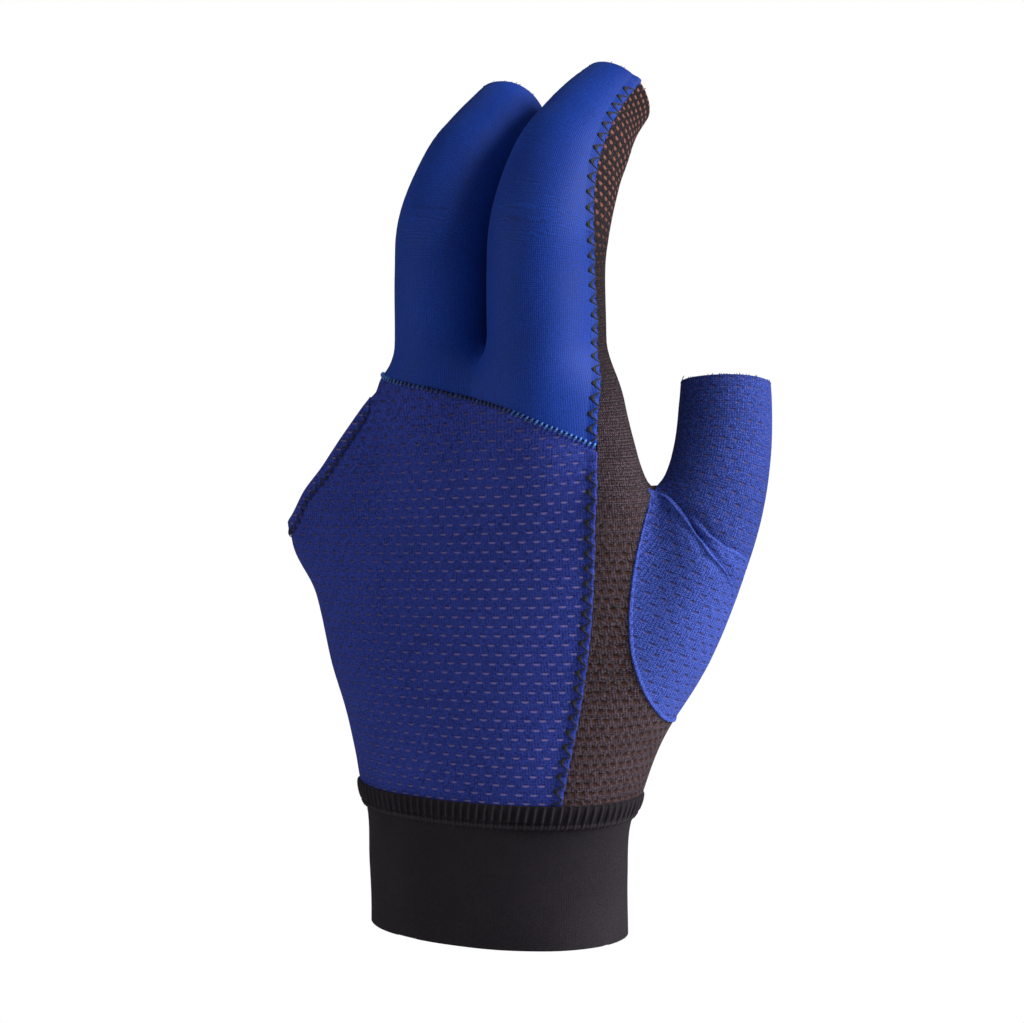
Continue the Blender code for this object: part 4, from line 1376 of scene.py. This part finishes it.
def seam_lines(surface, name, others):
    """Lines where the named piece meets the others; the named piece is on their left."""
    own = border(surface.faces[surface.names == name])
    theirs = surface.faces[np.isin(surface.names, others)]
    known = {(b, a) for f in theirs.tolist() for a, b in zip(f, f[1:] + f[:1])}
    pairs = [tuple(p) for p in own.tolist() if tuple(p) in known]
    return [Line(surface.points[line], closed) for line, closed in chains(pairs) if len(line) > 4]


# Stitches

def tubes(name, paths, radius, material, tone=1.0, sides=6, flat=0.75):
    """Joined round threads; paths is (threads, points, 3), all with the same number of points."""
    paths = np.asarray(paths)
    many, long, _ = paths.shape
    run = unit(np.gradient(paths, axis=1))
    up = normals_of(paths.reshape(-1, 3)).reshape(paths.shape)
    side = unit(np.cross(run, up))
    up = np.cross(side, run)
    turn = np.arange(sides) * 2 * math.pi / sides
    ends = np.ones(long)
    ends[[0, -1]] = 0.35
    size = np.asarray(radius) * np.ones(many)
    wide = (size[:, None] * ends)[..., None, None]
    ring = side[:, :, None] * np.cos(turn)[:, None] + up[:, :, None] * np.sin(turn)[:, None] * flat
    points = (paths[:, :, None] + ring * wide).reshape(-1, 3)
    first = (np.arange(many) * long * sides)[:, None, None]
    k = np.arange(long - 1)[None, :, None] * sides
    i = np.arange(sides)[None, None]
    j = (i + 1) % sides
    quads = np.stack([first + k + i, first + k + j, first + k + sides + j, first + k + sides + i], -1)
    caps_low = first[:, 0] + np.arange(sides)[::-1]
    caps_high = first[:, 0] + (long - 1) * sides + np.arange(sides)
    faces = quads.reshape(-1, 4).tolist() + caps_low.tolist() + caps_high.tolist()
    steps = np.linalg.norm(np.diff(paths, axis=1), axis=2)
    lengths = np.concatenate([np.zeros((many, 1)), np.cumsum(steps, axis=1)], axis=1)
    uv = np.stack(np.broadcast_arrays(lengths[:, :, None], turn / (2 * math.pi)), -1).reshape(-1, 2)
    tones = np.repeat(np.asarray(tone) * np.ones(many), long * sides)
    return add_piece(name, points, faces, material, uv, {"tone": tones})


def strip(name, line, profile, material, knit, sides_of, s_from=0.0, s_to=None):
    """Raised cloth along a seam: profile(s, share) gives distance to the side and height."""
    s_to = line.length if s_to is None else s_to
    s = np.linspace(s_from, s_to, max(int((s_to - s_from) / 0.28), 8))
    share = np.linspace(0, 1, sides_of)
    grid_s, grid_share = (g.ravel() for g in np.meshgrid(s, share, indexing="ij"))
    d, h = profile(grid_s, grid_share)
    top = line.at(grid_s, d, h)
    under = line.at(grid_s, d, np.minimum(h, 0) - 0.25)
    rows, columns = len(s), sides_of
    i, j = np.meshgrid(np.arange(rows - 1), np.arange(columns - 1), indexing="ij")
    a = (i * columns + j).ravel()
    quads = np.column_stack([a, a + columns, a + columns + 1, a + 1])
    count = rows * columns
    edge = np.concatenate(
        [
            np.arange(columns - 1),
            np.arange(rows - 1) * columns + columns - 1,
            count - 1 - np.arange(columns - 1),
            (rows - 1 - np.arange(rows - 1)) * columns,
        ]
    )
    following = np.roll(edge, -1)
    rim = np.column_stack([edge, following, following + count, edge + count])
    faces = np.vstack([quads, quads[:, ::-1] + count, rim])
    on_form = line.at(grid_s, d)
    uv = chart(knit, on_form)
    opened = np.full(2 * count, 0.4)
    return add_piece(
        name, np.vstack([top, under]), faces, material, np.vstack([uv, uv]), {"open": opened}
    )


def scallop(s, pitch):
    """0 at each stitch and 1 midway between stitches."""
    return np.abs(np.sin(math.pi * s / pitch)) ** 0.7


V_PITCH = 3.2
V_DEPTH = 2.3
V_OVER = 0.2
RIDGE_SIZES = (1.3, 0.8)


def puffed(s, share):
    """Puffed blue edge, drawn in at each stitch."""
    swell = scallop(s, V_PITCH)
    d = -V_OVER * swell + share * (V_DEPTH + V_OVER * swell)
    h = (0.10 + 0.50 * swell * (1 - share) ** 0.5) * np.sin(math.pi * np.clip(share, 0, 1) ** 0.55)
    return d, h


def folded(s, share):
    """Plain folded edge."""
    return -0.35 + 1.8 * share, 0.42 * np.sin(math.pi * share**0.5)


def side_seams():
    for name, knit, material in (
        ("finger_tops", "finger_tops", "blue_smooth"),
        ("back_panel", "back_panel", "blue_mesh_back"),
    ):
        for number, line in enumerate(seam_lines(surface, name, ["palm_panel"])):
            middle = line.points.mean(0)
            radial = middle[0] > 15
            label = f"{name}_edge_{number}"
            if radial:
                piece = strip(label, line, puffed, material, knit, 9)
                sewn_on(piece, name)
                zigzag(f"{name}_zigzag_{number}", line, V_PITCH, -0.1, V_DEPTH, name, puff=True)
                # Painted shade at each stitch's tip, as dark thread
                pit_shadows(f"{name}_pits_{number}", line, name)
            else:
                piece = strip(label, line, folded, material, knit, 7)
                sewn_on(piece, name)


def zigzag(name, line, pitch, near, far, slot, radius=0.17, lift=0.30, puff=False):
    """Thread that runs from the seam to each stitch's tip and back."""
    count = int(line.length / pitch)
    k = np.arange(count)[:, None]
    share = np.linspace(0, 1, 7)
    paths = []
    for sign in (-1, 1):
        s = (k + 0.5 * sign * share) * pitch
        d = far + (near - far) * share + np.zeros_like(s)
        h = lift * np.sin(math.pi * np.clip(share * 0.9 + 0.05, 0, 1)) ** 0.5 + np.zeros_like(s)
        if puff:
            over = V_OVER * scallop(s, pitch)
            h = np.maximum(0.1, puffed(s, np.clip((d + over) / (far + over), 0, 1))[1]) + 0.04
        keep = (s >= 0).all(1) & (s <= line.length).all(1)
        points = line.at(s[keep].ravel(), d[keep].ravel(), h[keep].ravel())
        paths.append(points.reshape(-1, len(share), 3))
    sewn_on(tubes(name, np.vstack(paths), radius, "black_thread"), slot)


def pit_shadows(name, line, slot):
    """Painted shade of the cloth drawn in between the threads at each stitch's tip, made as short dark thread tubes.
    """
    k = np.arange(1, int(line.length / V_PITCH))[:, None]
    share = np.linspace(0, 1, 5)
    paths = []
    for spread in (-0.12, 0.0, 0.12):
        s = (k + spread * (0.3 + share)) * V_PITCH
        d = V_DEPTH * (0.96 - 0.5 * share) + np.zeros_like(s)
        h = 0.12 + 0.10 * np.sin(math.pi * share) + np.zeros_like(s)
        points = line.at(s.ravel(), d.ravel(), h.ravel())
        paths.append(points.reshape(-1, len(share), 3))
    sewn_on(tubes(name, np.vstack(paths), 0.24, "black_thread", 0.3), slot)


def web_ridges():
    """Crisp ridges of the folds at the thumb's web, each along its fold's lower side."""
    for number, rows in enumerate(WEB_FOLDS):
        table = np.asarray(rows, float)
        line = Line(table[:, [1, 2, 0]] * (THUMB_SPREAD, THUMB_REACH, THUMB_HEIGHT))
        size = RIDGE_SIZES[number]

        def ridge(s, share):
            fade = np.clip(s / 3, 0, 1) * np.clip((line.length - s) / 9, 0, 1) ** 0.7
            d = -3.4 + 4.1 * share
            fall = np.clip((share - 0.8) / 0.2, 0, 1) ** 1.5
            crest = np.where(share < 0.8, (share / 0.8) ** 2.2, 1 - fall)
            return d, size * fade * crest - 0.12

        piece = strip(f"web_fold_{number}", line, ridge, "blue_mesh", "thumb_sleeve", 14)
        sewn_on(piece, "thumb_sleeve")


def thread_tail():
    """Loose end of thread at the corner of the thumb's opening."""
    line = max(seam_lines(surface, "thumb_sleeve", ["waste"]), key=lambda l: l.points[:, 2].mean())
    seen = line.points @ np.array([math.cos(math.radians(30)), math.sin(math.radians(30)), 0])
    start = line.points[seen.argmin()]
    share = np.linspace(0, 1, 9)[:, None]
    paths = []
    for lean, rise in ((0.5, 2.1), (1.5, 1.2)):
        bend = np.array([lean, -0.6, rise])
        curl = np.array([0.5, 0.1, -0.3])
        paths.append(start - [0, 0, 0.5] + bend * share + curl * share**2)
    sewn_on(tubes("thumb_thread_tail", np.array(paths), 0.11, "navy_thread", 0.6), "thumb_sleeve")


def knuckle_seam():
    rng = np.random.default_rng(7)
    for number, line in enumerate(seam_lines(surface, "finger_tops", ["back_panel"])):
        pitch = 1.1
        count = int(line.length / pitch)
        s0 = (np.arange(count) + 0.5) * pitch
        share = np.linspace(0, 1, 6)
        s = s0[:, None] + 0.35 * (share - 0.5) * pitch
        d = -0.75 + 1.15 * share + np.zeros_like(s) + rng.normal(0, 0.05, (count, 1))
        h = 0.35 * np.sin(math.pi * share) ** 0.6 + np.zeros_like(s) + 0.05
        paths = line.at(s.ravel(), d.ravel(), h.ravel()).reshape(count, len(share), 3)
        bright = np.abs(2 * s0 / line.length - 0.9)
        tone = np.clip(0.2 + 1.9 * bright**2 + rng.normal(0, 0.2, count), 0.05, 2.0)
        piece = tubes(f"knuckle_stitches_{number}", paths, 0.24, "cyan_thread", tone)
        sewn_on(piece, "finger_tops")


def thumb_seam():
    """Plain folded edge that sinks into the cloth at the thumb's crotch."""
    for number, line in enumerate(seam_lines(surface, "thumb_sleeve", ["palm_panel"])):
        top = line.points[:, 2].max()

        def narrow(s, share):
            below = top - np.interp(s, line.s, line.points[:, 2])
            fade = np.clip((below - 0.8) / 3.0, 0, 1)
            return -0.2 + 0.9 * share, (0.34 * np.sin(math.pi * share**0.5) + 0.5) * fade - 0.5

        piece = strip(f"thumb_edge_{number}", line, narrow, "blue_mesh", "thumb_sleeve", 6)
        sewn_on(piece, "thumb_sleeve")


def hem_stitches():
    for number, line in enumerate(seam_lines(surface, "opening_hem", ["palm_panel", "back_panel"])):
        zigzag(f"hem_zigzag_{number}", line, 2.4, -0.5, 1.0, "opening_hem", 0.15, 0.45)


RIB_PITCH = 1.75


def ribbed_band():
    """The band's upright ribs, a grid right round the wrist."""
    levels = np.linspace(CUFF_HEIGHT - 0.2, CUFF_HEIGHT + BAND_HEIGHT + 0.1, 15)
    turns = np.linspace(0, 1, 1151)[:-1]
    rows = []
    round_length = 2 * np.interp(CUFF_HEIGHT, CHART_HEIGHTS, LENGTHS[:, -1])
    ribs = round(round_length / RIB_PITCH)
    table = LENGTHS[np.searchsorted(CHART_HEIGHTS, CUFF_HEIGHT)]
    angle = np.interp(turns, (table - table[0]) / (table[-1] - table[0]), CHART_ANGLES)
    for z in levels:
        m, a, b, power = (float(v) for v in hand_section(np.array(z)))
        sine, cosine = np.sin(angle), np.cos(angle)
        size = (np.abs(sine) ** power + np.abs(cosine) ** power) ** (-1 / power)
        rows.append(np.column_stack([m + a * size * sine, -b * size * cosine, np.full(len(angle), z)]))
    base = to_form(np.vstack(rows), 2)
    share = np.repeat((levels - levels[0]) / (levels[-1] - levels[0]), len(turns))
    turn = np.tile(turns, len(levels))
    wave = 0.5 + 0.5 * np.cos(turn * ribs * 2 * math.pi)
    ends = np.sin(math.pi * np.clip(share, 0.02, 0.98)) ** 0.35
    loop = 0.5 + 0.5 * np.cos((turn * ribs + 0.5) * 2 * math.pi)
    low = np.exp(-(((share - 0.13) / 0.07) ** 2))
    groove = np.exp(-(((share - 0.28) / 0.04) ** 2))
    height = 0.28 + (0.06 + 0.55 * wave**3) * ends + 0.40 * low * loop - 0.30 * groove
    # Tone of the ribs: painted highlight on the crests and the low row of loops, painted shade in the groove above
    # them
    painted_shading = (0.55 * wave**3 - 0.25) * ends + 0.5 * low * loop - 0.3 * groove
    height = height + 0.04 * np.sin(turn * 977) * ends
    normal = normals_of(base)
    top = base + normal * height[:, None]
    under = base - normal * 0.3
    n, rows = len(turns), len(levels)
    i, j = np.meshgrid(np.arange(rows - 1), np.arange(n), indexing="ij")
    a = (i * n + j).ravel()
    b = (i * n + (j + 1) % n).ravel()
    quads = np.column_stack([a, b, b + n, a + n])
    count = rows * n
    j = np.arange(n)
    k = (j + 1) % n
    low_rim = np.column_stack([k, j, j + count, k + count])
    last = (rows - 1) * n
    high_rim = np.column_stack([j + last, k + last, k + last + count, j + last + count])
    faces = np.vstack([quads, quads[:, ::-1] + count, low_rim, high_rim])
    uv = body_chart(base)
    values = {"painted_shading": np.tile(painted_shading, 2)}
    piece = add_piece(
        "band_ribs", np.vstack([top, under]), faces, "black_smooth", np.vstack([uv, uv]), values
    )
    sewn_on(piece, "cuff_seam")


def frayed_edges():
    """Short cut ends of yarn round the three fingertip openings."""
    rng = np.random.default_rng(3)
    for name, material in (
        ("finger_tops", "navy_thread"),
        ("palm_panel", "black_thread"),
        ("thumb_sleeve", "navy_thread"),
    ):
        paths = []
        for line in seam_lines(surface, name, ["waste"]):
            if line.points[:, 2].mean() < 0.8 * THUMB_HEIGHT:
                continue
            count = int(line.length / 0.55)
            s = np.sort(rng.uniform(0, line.length, count))[:, None]
            share = np.linspace(0, 1, 4)
            lean = rng.normal(0, 0.35, (count, 1))
            reach = rng.uniform(-0.1, 0.22, (count, 1))
            d = 0.3 - (0.3 + reach) * share
            h = rng.normal(-0.35, 0.25, (count, 1)) + rng.normal(0, 0.2, (count, 1)) * share
            points = line.at((s + lean * share).ravel(), d.ravel(), h.ravel())
            paths.append(points.reshape(count, len(share), 3))
        piece = tubes(f"{name}_frayed_ends", np.vstack(paths), 0.10, material, sides=4)
        sewn_on(piece, name)


side_seams()
knuckle_seam()
thumb_seam()
hem_stitches()
ribbed_band()
frayed_edges()
web_ridges()
thread_tail()


# Cloth

# The band and the hem are too narrow to be sheets and go with the cloth they edge
ON_CLOTH["cuff"] += [PANEL_PIECES["cuff_seam"], *ON_CLOTH["cuff_seam"]]
ON_CLOTH["back_panel"] += [PANEL_PIECES["opening_hem"], *ON_CLOTH["opening_hem"]]


# Stage

ROOM_LIGHT = 0.075
FLOOR_RADIUS = 0.78
FLOOR_HEIGHT = -0.35


def stage():
    plain = bpy.data.materials.new("floor")
    n = Nodes(plain)
    place = n.tree.nodes.new("ShaderNodeTexCoord").outputs["Object"]
    n.put(n.shader.inputs["Base Color"], n.mix(n.noise(place, 3.0), (0.93, 0.93, 0.93), (0.97, 0.97, 0.97)))
    n.shader.inputs["Roughness"].default_value = 0.8
    mesh = bpy.data.meshes.new("floor")
    turns = np.linspace(0, 2 * math.pi, 97)[:-1]
    ring = [(FLOOR_RADIUS * math.cos(t), FLOOR_RADIUS * math.sin(t), FLOOR_HEIGHT) for t in turns]
    mesh.from_pydata(ring, [], [tuple(range(len(ring)))])
    mesh.materials.append(plain)
    floor = bpy.data.objects.new("floor", mesh)
    bpy.context.scene.collection.objects.link(floor)
    world = bpy.data.worlds.new("studio")
    world.use_nodes = True
    tree = world.node_tree
    white = tree.nodes["Background"]
    white.inputs["Color"].default_value = (1, 1, 1, 1)
    white.inputs["Strength"].default_value = 1.0
    soft = tree.nodes.new("ShaderNodeBackground")
    soft.inputs["Color"].default_value = (1, 1, 1, 1)
    soft.inputs["Strength"].default_value = ROOM_LIGHT
    seen = tree.nodes.new("ShaderNodeLightPath")
    either = tree.nodes.new("ShaderNodeMixShader")
    tree.links.new(seen.outputs["Is Camera Ray"], either.inputs[0])
    tree.links.new(soft.outputs[0], either.inputs[1])
    tree.links.new(white.outputs[0], either.inputs[2])
    tree.links.new(either.outputs[0], tree.nodes["World Output"].inputs["Surface"])
    bpy.context.scene.world = world
    bpy.context.scene.view_settings.view_transform = "Standard"


AIM = np.array([0.0036, 0.0, 0.092])


def placed(azimuth, elevation, distance):
    """A point seen from the object at these angles, where azimuth 0 is behind -Y."""
    a, e = math.radians(azimuth), math.radians(elevation)
    back = np.array([math.sin(a) * math.cos(e), -math.cos(a) * math.cos(e), math.sin(e)])
    return AIM + back * distance


def aimed(obj, where):
    """Puts an object there and turns its -Z to the glove."""
    back = unit(where - AIM)
    right = unit(np.cross([0, 0, 1], back))
    up = np.cross(back, right)
    matrix = np.eye(4)
    matrix[:3, 0], matrix[:3, 1], matrix[:3, 2], matrix[:3, 3] = right, up, back, where
    obj.matrix_world = Matrix(matrix.tolist())


LIGHTS = (
    # name, azimuth, elevation, distance, size, power
    ("key", 106, 26, 1.0, 0.55, 18.5),
    ("front", 20, 50, 1.3, 0.60, 3.0),
    ("fill", -45, 12, 1.3, 0.70, 4.2),
)


def lights_and_camera():
    for name, azimuth, elevation, distance, size, power in LIGHTS:
        data = bpy.data.lights.new(name, "AREA")
        data.shape = "SQUARE"
        data.size = size
        data.energy = power
        light = bpy.data.objects.new(name, data)
        bpy.context.scene.collection.objects.link(light)
        aimed(light, placed(azimuth, elevation, distance))
    data = bpy.data.cameras.new("camera")
    data.sensor_width = 36.0
    data.lens = 2990 / 1024 * 36
    camera = bpy.data.objects.new("camera", data)
    bpy.context.scene.collection.objects.link(camera)
    aimed(camera, placed(30, 5.5, 0.650))
    bpy.context.scene.camera = camera


stage()
lights_and_camera()
